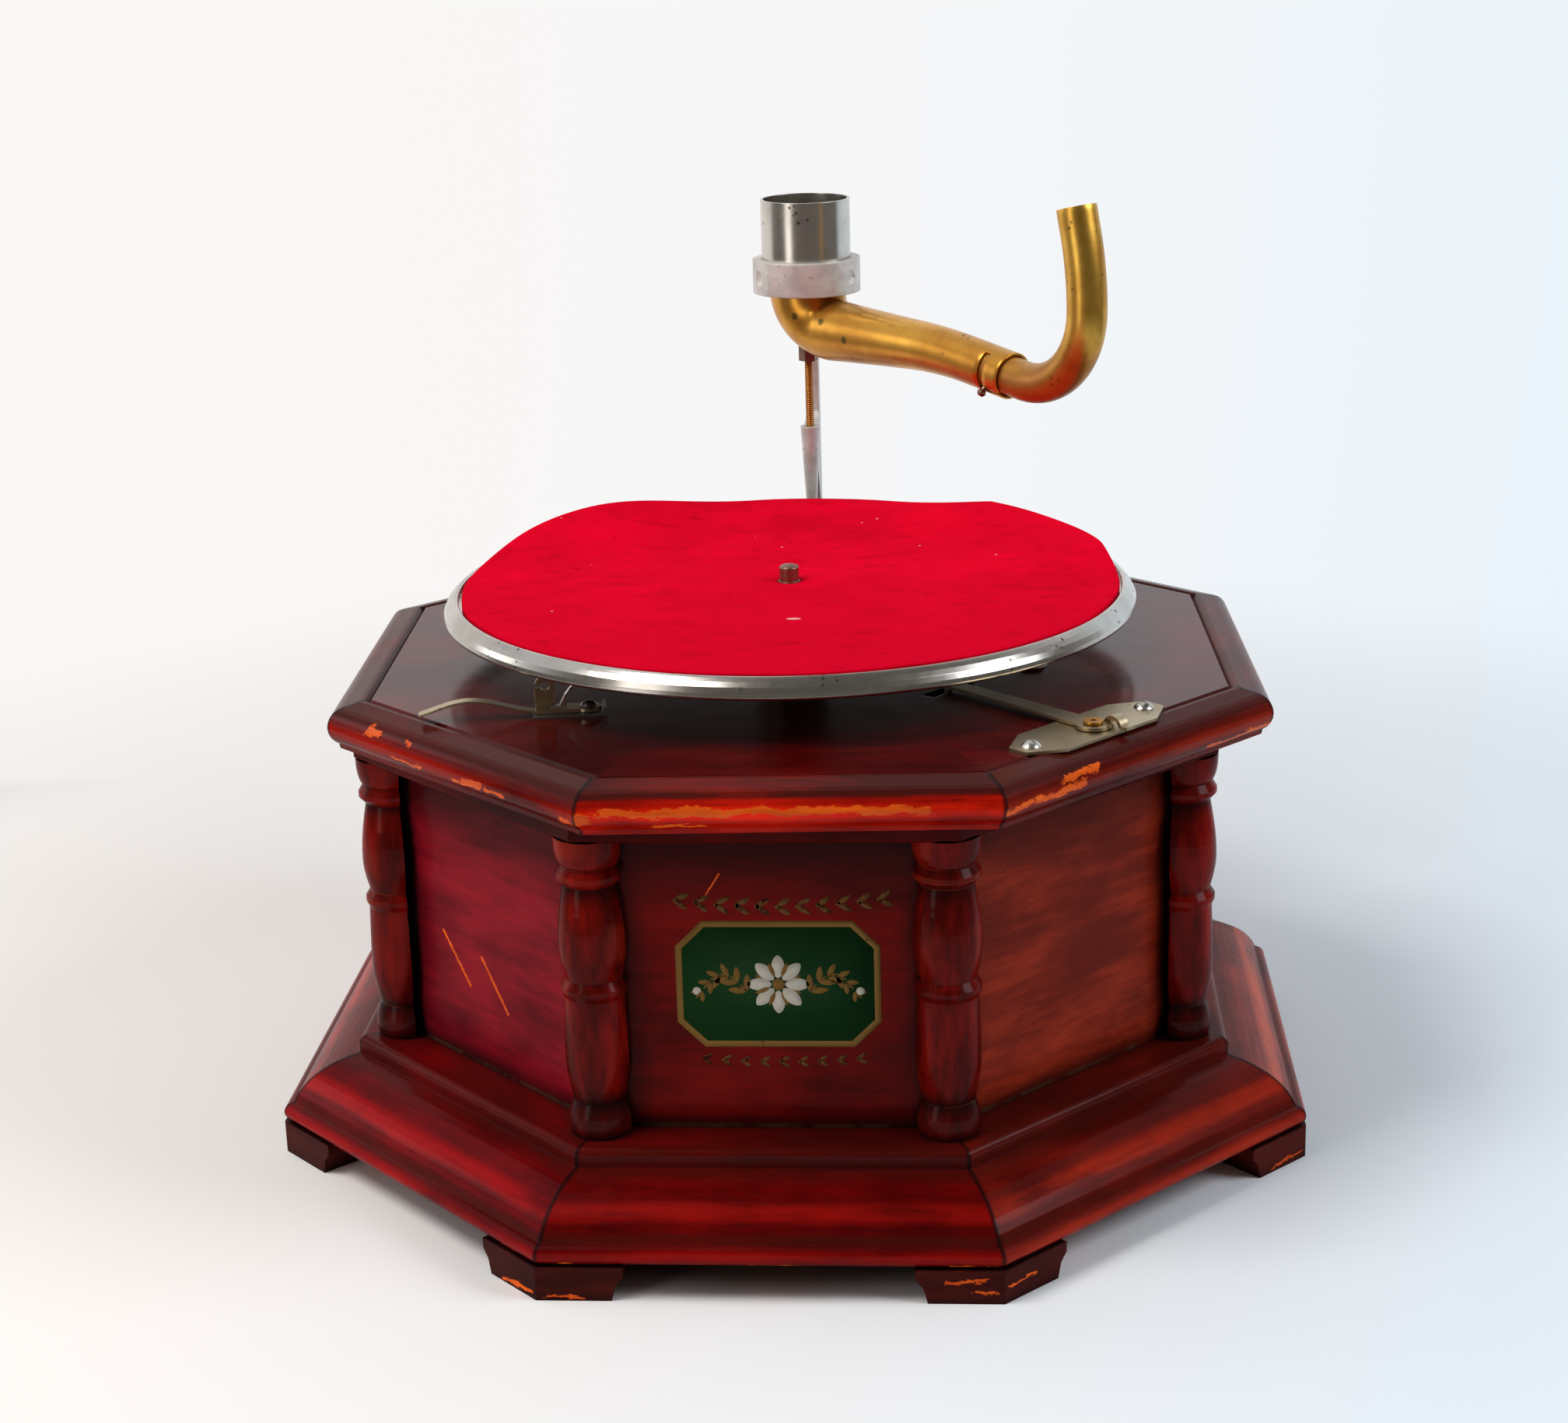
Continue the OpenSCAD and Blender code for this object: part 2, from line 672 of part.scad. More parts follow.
module spindle() {
    dome = 1.2;
    foot_r = 3;
    tip = felt_top + spindle_rise;
    collar_z = web_z - 8;
    profile = concat(
        [[0, lower_top - motor_plate_t], [foot_r, lower_top - motor_plate_t], [foot_r, lower_top + 2],
            [shaft_r, lower_top + 3], [shaft_r, collar_z - 4], [hub_r - 3, collar_z - 4],
            [hub_r - 3, collar_z], [shaft_r, collar_z], [shaft_r, felt_z], [seat_r, felt_z],
            [seat_r, felt_top], [spindle_r, felt_top], [spindle_r, tip - dome]],
        [for (t = [15:15:90]) [spindle_r * cos(t), tip - dome + dome * sin(t)]]);
    color([0.36, 0.25, 0.2]) {
        rotate_extrude()
            polygon(profile);
        translate([0, 0, intermediate_z - 1])
            linear_extrude(wheel_h + 2)
                difference() {
                    polygon(teeth(pinion_teeth, gear_m, gear_play));
                    circle(r = shaft_r - 0.5);
                }
    }
}

module governor_wheel() {
    color(brass)
        difference() {
            translate([0, 0, governor_pitch_z])
                mirror([0, 0, 1])
                    rotate(90)
                        face_wheel(governor_wheel_teeth, governor_m, governor_face, governor_disc_t);
            translate([0, 0, governor_wheel_top - 20])
                cylinder(r = shaft_r + run_gap, h = 40);
            for (k = [0:5])
                rotate(60 * k)
                    translate([governor_pitch_r * 0.56, 0, governor_wheel_top - 20])
                        cylinder(r = governor_pitch_r * 0.2, h = 40);
        }
}

// DECK LEVERS

// Places a part at the brake's pivot, with its finger towards +X
module at_brake() {
    translate([-brake_x, -brake_y, deck_z])
        rotate(190)
            children();
}

module brake_plate() {
    length = brake_tab_x + 10.3;
    width = 10;
    back = -6;
    lip_h = 3;
    color(steel)
        at_brake()
            difference() {
                union() {
                    translate([back, -width / 2, 0])
                        cube([length, width, sheet_t]);
                    translate([back, -width / 2, 0])
                        cube([sheet_t, width, lip_h]);
                }
                translate([0, 0, -pass_gap])
                    cylinder(r = deck_screw_r + run_gap, h = sheet_t + 2 * pass_gap);
            }
}

// Height of the brake strip's wave along its length
function brake_wave(x) = 2.4 - 2.4 * cos(x / brake_finger_l * 310);

module brake_lever() {
    low = sheet_t + slide_gap;
    eye_r = 1.6;
    eye_z = brake_tab_h - brake_w / 2 + sheet_t;
    eye_mouth = 1.3;
    round_r = 4.5;
    steps = 24;
    strip = [for (i = [0:steps]) [brake_finger_l * i / steps, brake_wave(brake_finger_l * i / steps)]];
    strip_t = sheet_t * 0.75;
    color(brass)
        at_brake() {
            translate([0, 0, low])
                difference() {
                    union() {
                        cylinder(r = round_r, h = sheet_t);
                        translate([0, -brake_w / 2, 0])
                            cube([brake_tab_x + brake_w / 2, brake_w, sheet_t]);
                    }
                    translate([0, 0, -pass_gap])
                        cylinder(r = deck_screw_r + run_gap, h = sheet_t + 2 * pass_gap);
                }
            translate([brake_tab_x, -brake_w / 2, low])
                rotate([-90, 0, 0])
                    mirror([0, 1, 0])
                        linear_extrude(sheet_t)
                            difference() {
                                union() {
                                    translate([-brake_w / 2, 0])
                                        square([brake_w, eye_z]);
                                    translate([0, eye_z])
                                        circle(r = brake_w / 2);
                                }
                                translate([0, eye_z])
                                    circle(r = eye_r);
                                translate([0, eye_z - eye_mouth / 2])
                                    square([brake_w, eye_mouth]);
                            }
            translate([brake_tab_x + brake_w / 2 - sheet_t, brake_w / 2 - 1, low])
                rotate([90, 0, 0])
                    linear_extrude(brake_w * 0.6)
                        polygon(concat(strip, [for (i = [steps:-1:0]) strip[i] + [0, strip_t]]));
        }
}

module brake_spring() {
    low = 2 * sheet_t + slide_gap;
    width = 2.4;
    t = 0.6;
    foot_x = brake_tab_x - 1.7;
    color(steel)
        at_brake()
            translate([foot_x, -width / 2, low])
                rotate([90, 0, 0])
                    mirror([0, 0, 1])
                        linear_extrude(width)
                            polygon([[-5.5, 0], [0, 0], [0, t], [-3, t], [-5, 4.5], [-8, 8.2], [-8.6, 7.8],
                                [-5.7, 4.3]]);
}

module brake_screws() {
    stack = 2 * sheet_t + 2 * slide_gap;
    color(steel)
        at_brake()
            translate([0, 0, stack])
                screw(screw_head_r * 0.8, deck_screw_r, stack);
}

// Places a part at the regulator's rivet, with +X pointing outwards across the deck
module at_regulator() {
    rotate(-45)
        translate([regulator_ring_r, 0, deck_z])
            children();
}

module regulator_plate() {
    half_l = regulator_screws_l / 2 + 6;
    half_w = regulator_w / 2;
    inner = -regulator_inset - half_w;
    outer = -regulator_inset + half_w;
    cut = 12;
    end_w = 4;
    rays = 6;
    ray_at = regulator_lever_w / 2 + 3;
    color(nickel)
        at_regulator()
            rotate(top_turn)
                difference() {
                    union() {
                        linear_extrude(sheet_t)
                            polygon([[inner, cut - half_l], [-regulator_inset - end_w, -half_l],
                                [end_w - regulator_inset, -half_l], [outer, cut - half_l],
                                [outer, half_l - cut], [end_w - regulator_inset, half_l],
                                [-regulator_inset - end_w, half_l], [inner, half_l - cut]]);
                        for (k = [0:rays - 1])
                            rotate(80 + 8 * k)
                                translate([ray_at, -0.35, 0])
                                    cube([5, 0.7, sheet_t + 0.25]);
                    }
                    for (s = [-1, 1])
                        translate([-regulator_inset, s * regulator_screws_l / 2, -pass_gap])
                            cylinder(r = deck_screw_r + run_gap, h = sheet_t + 2 * pass_gap);
                    translate([0, 0, -pass_gap])
                        cylinder(r = rivet_r + run_gap, h = sheet_t + 2 * pass_gap);
                }
}

module regulator_lever() {
    half_w = regulator_lever_w / 2;
    hump_r = 4;
    hump_x = 5;
    finger_l = 11.5;
    finger_w = 4;
    color([0.7, 0.6, 0.4])
        at_regulator() {
            translate([0, 0, sheet_t + slide_gap])
                difference() {
                    union() {
                        linear_extrude(sheet_t)
                            union() {
                                circle(r = half_w + 2);
                                polygon([[-regulator_reach - half_w, -half_w * 0.7], [0, -half_w],
                                    [0, half_w], [-regulator_reach - half_w, half_w * 0.7]]);
                            }
                        translate([0, rivet_head_r + slide_gap + finger_w, 0])
                            rotate([90, 0, 0])
                                linear_extrude(finger_w)
                                    difference() {
                                        union() {
                                            square([finger_l, sheet_t]);
                                            translate([hump_x, 0])
                                                intersection() {
                                                    circle(r = hump_r);
                                                    translate([-hump_r, 0])
                                                        square([2 * hump_r, hump_r]);
                                                }
                                        }
                                        translate([hump_x, -0.2])
                                            circle(r = hump_r - sheet_t);
                                    }
                    }
                    translate([0, 0, -pass_gap])
                        cylinder(r = rivet_r + run_gap, h = sheet_t + 2 * pass_gap);
                }
            translate([-regulator_reach, 0, friction_z - deck_z - pass_gap])
                cylinder(r = speed_pin_r, h = deck_z - friction_z + pass_gap + 2 * sheet_t + slide_gap + 0.6);
        }
}

module regulator_rivet() {
    stack = 2 * sheet_t + 2 * slide_gap;
    head_h = 0.8;
    eye_r = 1.1;
    color(brass)
        at_regulator()
            difference() {
                union() {
                    cylinder(r = rivet_r, h = stack);
                    translate([0, 0, stack])
                        cylinder(r = rivet_head_r, h = head_h);
                }
                translate([0, 0, -pass_gap])
                    cylinder(r = eye_r, h = stack + head_h + 2 * pass_gap);
            }
}

module regulator_screws() {
    color(nickel)
        at_regulator()
            rotate(top_turn)
                for (s = [-1, 1])
                    translate([-regulator_inset, s * regulator_screws_l / 2, sheet_t])
                        screw(screw_head_r, deck_screw_r, sheet_t);
}

// BRACKET AND HORN SOCKET

// Upright and foot of the bracket, on the back panel
module back_bracket() {
    back = bracket_y + bracket_depth;
    foot_top = bracket_foot_z + bracket_foot_h;
    wall = panel_d + joint_gap;
    elbow_z = foot_top - 16;
    elbow_r = 16;
    ring_top = ring_z + ring_h;
    round_r = 3;
    color(casting)
        difference() {
            union() {
                translate([-bracket_t / 2, 0, 0])
                    rotate([90, 0, 90])
                        linear_extrude(bracket_t)
                            polygon(concat(
                                [[wall + bracket_foot_t - 1, bracket_foot_z + 4],
                                    [wall + bracket_foot_t + 4, elbow_z - 8]],
                                arc([back - elbow_r, elbow_z + 4], elbow_r, -60, 0, 6),
                                arc([back - round_r, ring_top - round_r], round_r, 0, 90, 4),
                                [[bracket_y, ring_top], [bracket_y, elbow_z + 14],
                                    [bracket_y - 3, elbow_z + 9],
                                    [wall + bracket_foot_t - 1, elbow_z + 4]]));
                translate([-bracket_foot_w / 2, wall, bracket_foot_z])
                    cube([bracket_foot_w, bracket_foot_t, bracket_foot_h]);
            }
            translate([0, pivot_y, ring_z - joint_gap])
                cylinder(r = ring_r + joint_gap, h = ring_h + pass_gap);
            for (p = FOOT_SCREWS)
                translate([p.x, wall - pass_gap, p.y])
                    rotate([-90, 0, 0])
                        cylinder(r = foot_screw_r + run_gap, h = bracket_foot_t + 2 * pass_gap);
        }
}

// Ring that clamps the horn socket, with the marks of the punch that closed it
module bracket_ring() {
    mark_r = 5;
    mark_depth = 1.2;
    color(casting)
        translate([0, pivot_y, ring_z])
            difference() {
                cylinder(r = ring_r, h = ring_h);
                translate([0, 0, -pass_gap])
                    cylinder(r = socket_r + joint_gap, h = ring_h + 2 * pass_gap);
                for (a = [-32, -148])
                    rotate(a)
                        translate([ring_r + mark_r - mark_depth, 0, ring_h / 2])
                            sphere(r = mark_r);
            }
}

// Tapering lug that carries the pivot screw in front of the upright
module bracket_lug() {
    lug_h = 34;
    front = pivot_y - lug_w * 0.6;
    heel = bracket_y - joint_gap;
    color(casting)
        difference() {
            union() {
                translate([0, pivot_y, lug_z - lug_h])
                    cylinder(r1 = bracket_t * 0.4, r2 = lug_w / 2, h = lug_h);
                translate([-bracket_t / 2, 0, 0])
                    rotate([90, 0, 90])
                        linear_extrude(bracket_t)
                            polygon([[heel, lug_z + 3], [heel - 3, lug_z], [pivot_y, lug_z],
                                [front + 2, lug_z - 9], [heel, lug_z - lug_h - 3]]);
            }
            translate([0, pivot_y, lug_z - screw_hold])
                cylinder(r = pivot_screw_r + run_gap, h = screw_hold + pass_gap);
        }
}

module bracket_screws() {
    color(steel)
        for (p = FOOT_SCREWS)
            translate([p.x, panel_d + joint_gap + bracket_foot_t, p.y])
                rotate([-90, 0, 0])
                    screw(screw_head_r, foot_screw_r, bracket_foot_t);
}

module horn_socket() {
    shoulder = bush_z + bush_h + joint_gap;
    color(nickel)
        translate([0, pivot_y, 0])
            difference() {
                translate([0, 0, ring_z])
                    cylinder(r = socket_r, h = socket_top - ring_z);
                translate([0, 0, ring_z - pass_gap])
                    cylinder(r = bush_r, h = shoulder - ring_z + 2 * pass_gap);
                translate([0, 0, shoulder])
                    cylinder(r = socket_r - socket_wall, h = socket_top);
            }
}

module swivel_bush() {
    color(brass)
        translate([0, pivot_y, bush_z])
            difference() {
                cylinder(r = bush_r - run_gap, h = bush_h);
                translate([0, 0, -pass_gap])
                    cylinder(r = arm_top_r + run_gap, h = bush_h + 2 * pass_gap);
            }
}

// Height of the pivot nut's underside, and of the screw tip inside the nut
nut_z = arm_z - elbow_end_r - 2;
nut_h = 6;
tip_z = nut_z + 3;

module pivot_screw() {
    color(brass)
        translate([0, pivot_y, lug_z - screw_hold])
            cylinder(r = pivot_screw_r, h = tip_z - lug_z + screw_hold);
}

module pivot_nut() {
    color([0.3, 0.26, 0.22])
        difference() {
            translate([0, pivot_y, nut_z])
                rotate(arm_angle)
                    cylinder(r = pivot_nut_flats / 2 / cos(30), h = nut_h, $fn = 6);
            translate([0, pivot_y, nut_z - pass_gap])
                cylinder(r = pivot_screw_r + run_gap, h = tip_z - nut_z + slide_gap + pass_gap);
            at_arm()
                lofted_tube(ARM, 0);
        }
}

// TONEARM

module at_arm() {
    translate([0, pivot_y, 0])
        rotate(arm_angle)
            children();
}

// Stations along a tube in the arm's upright plane: distance, height, slope of the axis, radius
elbow_steps = 10;
ARM_ELBOW = [for (i = [0:elbow_steps]) let(a = 90 * i / elbow_steps)
    [elbow_bend_r * (1 - cos(a)), arm_z + elbow_bend_r * (1 - sin(a)), a - 90,
        arm_top_r - 0.2 + (elbow_end_r - arm_top_r + 0.2) * pow(sin(a), 3)]];
arm_run = arm_l - elbow_bend_r;
bend_from = 0.6;
droop_drop = arm_run * (1 - bend_from) * tan(arm_droop / 2);
ARM_RUN = [for (i = [1:12]) let(t = i / 12, b = max(0, (t - bend_from) / (1 - bend_from)))
    [elbow_bend_r + arm_run * t, arm_z - droop_drop * b * b, -arm_droop * b,
        sleeve_r - 0.15 + (elbow_end_r - sleeve_r + 0.15) * pow(1 - t, 1.6)]];
ARM = concat([[0, ring_z + 9, -90, arm_top_r - 0.2]], ARM_ELBOW, ARM_RUN);
sleeve_at = [arm_l, arm_z - droop_drop];

// Points and faces of a hollow tube through the stations
module lofted_tube(stations, wall) {
    sides = 28;
    count = len(stations);
    skin = function(inset) [for (s = stations, j = [0:sides - 1])
        let(a = 360 * j / sides, r = s[3] - inset)
        [s[0] - sin(s[2]) * r * cos(a), r * sin(a), s[1] + cos(s[2]) * r * cos(a)]];
    walls = [for (k = [0:count - 2], j = [0:sides - 1], f = [0, 1])
        let(a = k * sides + j, b = k * sides + (j + 1) % sides, c = b + sides, d = a + sides)
        f == 0 ? [a, b, c] : [a, c, d]];
    if (wall > 0) {
        inner = count * sides;
        last = (count - 1) * sides;
        ends = [for (j = [0:sides - 1], f = [0:3]) let(n = (j + 1) % sides)
            f == 0 ? [n, j, j + inner] : f == 1 ? [n, j + inner, n + inner]
            : f == 2 ? [last + j, last + n, last + n + inner] : [last + j, last + n + inner, last + j + inner]];
        polyhedron(concat(skin(0), skin(wall)),
            concat(walls, [for (f = walls) [f[2] + inner, f[1] + inner, f[0] + inner]], ends));
    } else {
        ends = [[for (j = [sides - 1:-1:0]) j], [for (j = [0:sides - 1]) (count - 1) * sides + j]];
        polyhedron(skin(0), concat(walls, ends));
    }
}

// Moves children to the sleeve, with +Z pointing along it to the gooseneck
module at_sleeve() {
    at_arm()
        translate([sleeve_at.x, 0, sleeve_at.y])
            rotate([0, 90 + arm_droop, 0])
                children();
}

module tonearm() {
    collar_z = arm_z + elbow_bend_r + 0.5;
    collar_h = bush_z + bush_h - collar_z;
    color(brass) {
        at_arm()
            lofted_tube(ARM, tube_wall);
        translate([0, pivot_y, collar_z])
            difference() {
                cylinder(r = arm_top_r, h = collar_h);
                translate([0, 0, -pass_gap])
                    cylinder(r = arm_top_r - tube_wall - 0.35, h = collar_h + 2 * pass_gap);
            }
        at_sleeve()
            difference() {
                translate([0, 0, -2])
                    cylinder(r = sleeve_r, h = sleeve_l + 2);
                translate([0, 0, -2 - pass_gap])
                    cylinder(r = sleeve_r - tube_wall, h = sleeve_l + 2 + 2 * pass_gap);
                rotate(bayonet_at)
                    bayonet_slot();
            }
    }
}

// Slot in the sleeve: an entry along it and a turn round it
module bayonet_slot() {
    half_w = bayonet_pin_r + slide_gap;
    ease = 0.1;
    at = sleeve_l - bayonet_in;
    translate([0, -half_w, at])
        cube([sleeve_r + 2, 2 * half_w, bayonet_in + pass_gap]);
    translate([0, 0, at - half_w])
        rotate(-bayonet_turn)
            rotate_extrude(angle = bayonet_turn)
                translate([spigot_r - 0.5, 0])
                    square([sleeve_r - spigot_r + 2, 2 * half_w]);
    for (a = [0, -bayonet_turn])
        translate([0, 0, at])
            rotate([0, 90, a])
                cylinder(r = half_w + ease, h = sleeve_r + 2);
}

// Stations of the gooseneck's bend and lean, from the end of its spigot
neck_from = 6;
neck_start = sleeve_at + (sleeve_l + neck_from) * [cos(arm_droop), -sin(arm_droop)];
bend_steps = 12;
NECK_BEND = [for (i = [0:bend_steps]) let(a = -arm_droop + (90 + arm_droop) * i / bend_steps)
    [neck_start.x + neck_bend_r * (sin(a) + sin(arm_droop)),
        neck_start.y + neck_bend_r * (cos(arm_droop) - cos(a)), a, neck_r - 0.1]];
neck_top = [neck_start.x + neck_bend_r * (1 + sin(arm_droop)), neck_start.y + neck_bend_r * cos(arm_droop)];
lean_steps = 5;
NECK_LEAN = [for (i = [1:lean_steps]) let(a = neck_lean * i / lean_steps)
    [neck_top.x - neck_lean_r * (1 - cos(a)), neck_top.y + neck_lean_r * sin(a), 90 + a, neck_r - 0.1]];
neck_end = [neck_top.x - neck_lean_r * (1 - cos(neck_lean)), neck_top.y + neck_lean_r * sin(neck_lean)];
NECK = concat(NECK_BEND, NECK_LEAN);
ferrule_l = 9.5;
// Depth of the spigot's shoulder inside the sleeve
shoulder_in = 1.5;

module gooseneck() {
    hole_r = neck_r - tube_wall - 0.1;
    color(brass) {
        at_arm()
            lofted_tube(NECK, tube_wall - 0.1);
        at_sleeve() {
            difference() {
                union() {
                    translate([0, 0, sleeve_l - neck_spigot_l])
                        cylinder(r = spigot_r, h = neck_spigot_l - shoulder_in);
                    translate([0, 0, sleeve_l - 2 * shoulder_in])
                        cylinder(r = neck_r, h = neck_from + 2 * shoulder_in + 1);
                }
                cylinder(r = hole_r, h = sleeve_l + 2 * neck_from);
            }
            rotate(bayonet_at)
                translate([hole_r + tube_wall / 2, 0, sleeve_l - bayonet_in])
                    rotate([0, 90, 0]) {
                        cylinder(r = bayonet_pin_r, h = sleeve_r - hole_r + 0.8);
                        translate([0, 0, sleeve_r - hole_r])
                            cylinder(r1 = bayonet_pin_r, r2 = bayonet_pin_r + 0.6, h = 1);
                        translate([0, 0, sleeve_r - hole_r + 1])
                            cylinder(r1 = bayonet_pin_r + 0.6, r2 = bayonet_pin_r * 0.8, h = 1.4);
                    }
        }
        at_arm()
            translate([neck_end.x, 0, neck_end.y])
                rotate([0, -neck_lean, 0])
                    difference() {
                        translate([0, 0, -1])
                            cylinder(r = neck_r, h = ferrule_l + 1);
                        translate([0, 0, -2])
                            cylinder(r = hole_r, h = ferrule_l + 3);
                    }
    }
}

// MOTOR

// Outline of the motor plates
module plate_outline(reach) {
    left = -58;
    half_w = 42;
    tongue = 20;
    waist = -60;
    hip = -68;
    right = barrel_x + 34;
    ear = 12;
    ear_end = pillar_out + 10;
    polygon([[left, -half_w], [-tongue, waist], [-tongue, -reach], [tongue, -reach], [tongue, hip],
        [tongue + 8, hip], [barrel_x - 18, -pillar_out - 2], [barrel_x + 6, 2 - half_w], [right, 2 - half_w],
        [right, half_w + 10], [barrel_x + ear, ear_end], [barrel_x - ear, ear_end], [left, half_w]]);
}

module motor_plate() {
    winding_bearing_x = barrel_x + 26;
    color(steel) {
        difference() {
            translate([0, 0, motor_under])
                linear_extrude(motor_plate_t)
                    plate_outline(governor_end + 4);
            for (p = [[0, 0, shaft_r], [intermediate_at.x, intermediate_at.y, 3], [barrel_x, 0, arbor_r]])
                translate([p.x, p.y, motor_under - pass_gap])
                    cylinder(r = p.z + run_gap, h = motor_plate_t + 2 * pass_gap);
            for (b = BOLTS)
                translate([b.x, b.y, motor_under - pass_gap])
                    cylinder(r = bolt_r + joint_gap, h = motor_plate_t + 2 * pass_gap);
            translate([pad_at.x - 11, pad_at.y - 9, motor_under - pass_gap])
                cube([22, 18, motor_plate_t + 2 * pass_gap]);
        }
        translate([friction_at.x, friction_at.y, motor_top])
            cylinder(r = friction_pin_r, h = friction_z - motor_top + friction_t + slide_gap);
        for (y = [inner_bearing_y, outer_bearing_y])
            difference() {
                translate([-6, -y - bearing_t, governor_z - 6])
                    cube([12, bearing_t, motor_under - governor_z + 6]);
                translate([0, -y + pass_gap, governor_z])
                    rotate([90, 0, 0])
                        cylinder(r = governor_r + run_gap, h = bearing_t + 2 * pass_gap);
            }
        difference() {
            translate([winding_bearing_x, -10, winding_z - 9])
                cube([5, 20, motor_under - winding_z + 9]);
            translate([winding_bearing_x - pass_gap, 0, winding_z])
                rotate([0, 90, 0])
                    cylinder(r = winding_r + run_gap, h = 5 + 2 * pass_gap);
        }
    }
}

module lower_plate() {
    color(steel)
        difference() {
            translate([0, 0, lower_top - motor_plate_t])
                linear_extrude(motor_plate_t)
                    plate_outline(60);
            for (p = [[0, 0, 3], [intermediate_at.x, intermediate_at.y, 3], [barrel_x, 0, arbor_r]])
                translate([p.x, p.y, lower_top - motor_plate_t - pass_gap])
                    cylinder(r = p.z + run_gap, h = motor_plate_t + 2 * pass_gap);
        }
}

module motor_pillars() {
    color(steel)
        for (p = PILLARS)
            translate([p.x, p.y, lower_top])
                rotate_extrude()
                    polygon([[0, 0], [pillar_r + 1.5, 0], [pillar_r + 1.5, 4], [pillar_r, 6],
                        [pillar_r, pillar_h - 6], [pillar_r + 1.5, pillar_h - 4], [pillar_r + 1.5, pillar_h],
                        [0, pillar_h]]);
}

module motor_bolts() {
    color(steel)
        for (b = BOLTS)
            translate([b.x, b.y, motor_under - 5]) {
                cylinder(r = bolt_r, h = deck_z - motor_under + 5);
                translate([0, 0, deck_z - motor_under + 5])
                    cylinder(r1 = bolt_r * 2, r2 = bolt_r * 1.4, h = bolt_head_h);
                translate([0, 0, 0.8])
                    cylinder(r = bolt_r * 1.9, h = 4.2, $fn = 6);
            }
}

module motor_spacers() {
    color("dimgray")
        for (b = BOLTS)
            translate([b.x, b.y, motor_top])
                difference() {
                    cylinder(r = bolt_r + 4, h = motor_drop);
                    translate([0, 0, -pass_gap])
                        cylinder(r = bolt_r + joint_gap, h = motor_drop + 2 * pass_gap);
                }
}

module spring_barrel() {
    floor_t = 2.5;
    color(brass)
        translate([barrel_x, 0, barrel_z])
            difference() {
                union() {
                    cylinder(r = barrel_r, h = barrel_h);
                    rotate(mesh_turn(barrel_dir, pinion_teeth, barrel_teeth))
                        linear_extrude(5)
                            polygon(teeth(barrel_teeth, gear_m, gear_play));
                }
                translate([0, 0, floor_t])
                    cylinder(r = barrel_r - barrel_wall, h = barrel_h);
                translate([0, 0, -pass_gap])
                    cylinder(r = arbor_r + run_gap, h = barrel_h);
            }
}

module barrel_cover() {
    color(brass)
        translate([barrel_x, 0, barrel_top])
            difference() {
                cylinder(r = barrel_r, h = cover_t);
                translate([0, 0, -pass_gap])
                    cylinder(r = arbor_r + run_gap, h = cover_t + 2 * pass_gap);
            }
}

module mainspring() {
    r0 = arbor_r + 8;
    r1 = barrel_r - barrel_wall - mainspring_t - slide_gap;
    steps = mainspring_turns * 20;
    spiral = function(inset) [for (i = [0:steps]) let(a = 360 * mainspring_turns * i / steps)
        (r0 + (r1 - r0) * i / steps + inset) * [cos(a), sin(a)]];
    outer = spiral(mainspring_t);
    color("slategray")
        translate([barrel_x, 0, barrel_z + 2.5 + slide_gap])
            linear_extrude(barrel_h - 2.5 - 2 * slide_gap)
                polygon(concat(spiral(0), [for (i = [steps:-1:0]) outer[i]]));
}

module barrel_arbor() {
    hook_r = arbor_r + 7;
    color(steel)
        translate([barrel_x, 0, 0]) {
            translate([0, 0, lower_top - motor_plate_t])
                cylinder(r = arbor_r, h = motor_top - lower_top + motor_plate_t);
            translate([0, 0, barrel_z + 2.5 + slide_gap])
                cylinder(r = hook_r, h = barrel_h - 2.5 - 2 * slide_gap);
        }
}

module winding_wheel() {
    color(brass)
        translate([barrel_x, 0, 0])
            difference() {
                translate([0, 0, winding_pitch_z])
                    face_wheel(winding_wheel_teeth, gear_m, winding_face, winding_disc_t);
                translate([0, 0, winding_wheel_z - pass_gap])
                    cylinder(r = arbor_r + run_gap, h = 20);
            }
}

module winding_shaft() {
    mouth = panel_d + 2;
    pinion_l = winding_face - 0.6;
    color(steel)
        translate([0, 0, winding_z])
            rotate([0, 90, 0])
                difference() {
                    union() {
                        translate([0, 0, barrel_x + winding_pitch_r - pinion_l / 2])
                            linear_extrude(pinion_l)
                                rotate(180 / winding_pinion_teeth)
                                    polygon(teeth(winding_pinion_teeth, gear_m, gear_play));
                        translate([0, 0, barrel_x + winding_pitch_r + pinion_l / 2 - 0.5])
                            cylinder(r = winding_r, h = mouth - barrel_x - winding_pitch_r - pinion_l / 2 + 0.5);
                    }
                    translate([0, 0, mouth - 16])
                        cylinder(r = winding_bore_r, h = 16 + pass_gap);
                }
}

module winding_escutcheon() {
    plate_r = winding_r + 9;
    color(brass)
        translate([panel_d, 0, winding_z])
            rotate([0, 90, 0])
                difference() {
                    union() {
                        rotate_extrude()
                            polygon([[0, 0], [plate_r, 0], [plate_r, 0.8], [winding_r + 5, 1.6],
                                [winding_r + 3, 3.2], [0, 3.2]]);
                        translate([0, 0, -panel_t])
                            cylinder(r = winding_r + pass_gap - joint_gap, h = panel_t + 1);
                    }
                    translate([0, 0, -panel_t - pass_gap])
                        cylinder(r = winding_r + run_gap, h = panel_t + 4 + 2 * pass_gap);
                    for (k = [0:2])
                        rotate(120 * k + 60)
                            translate([winding_r + 6.6, 0, -pass_gap])
                                cylinder(r = 1.1, h = 4);
                }
}

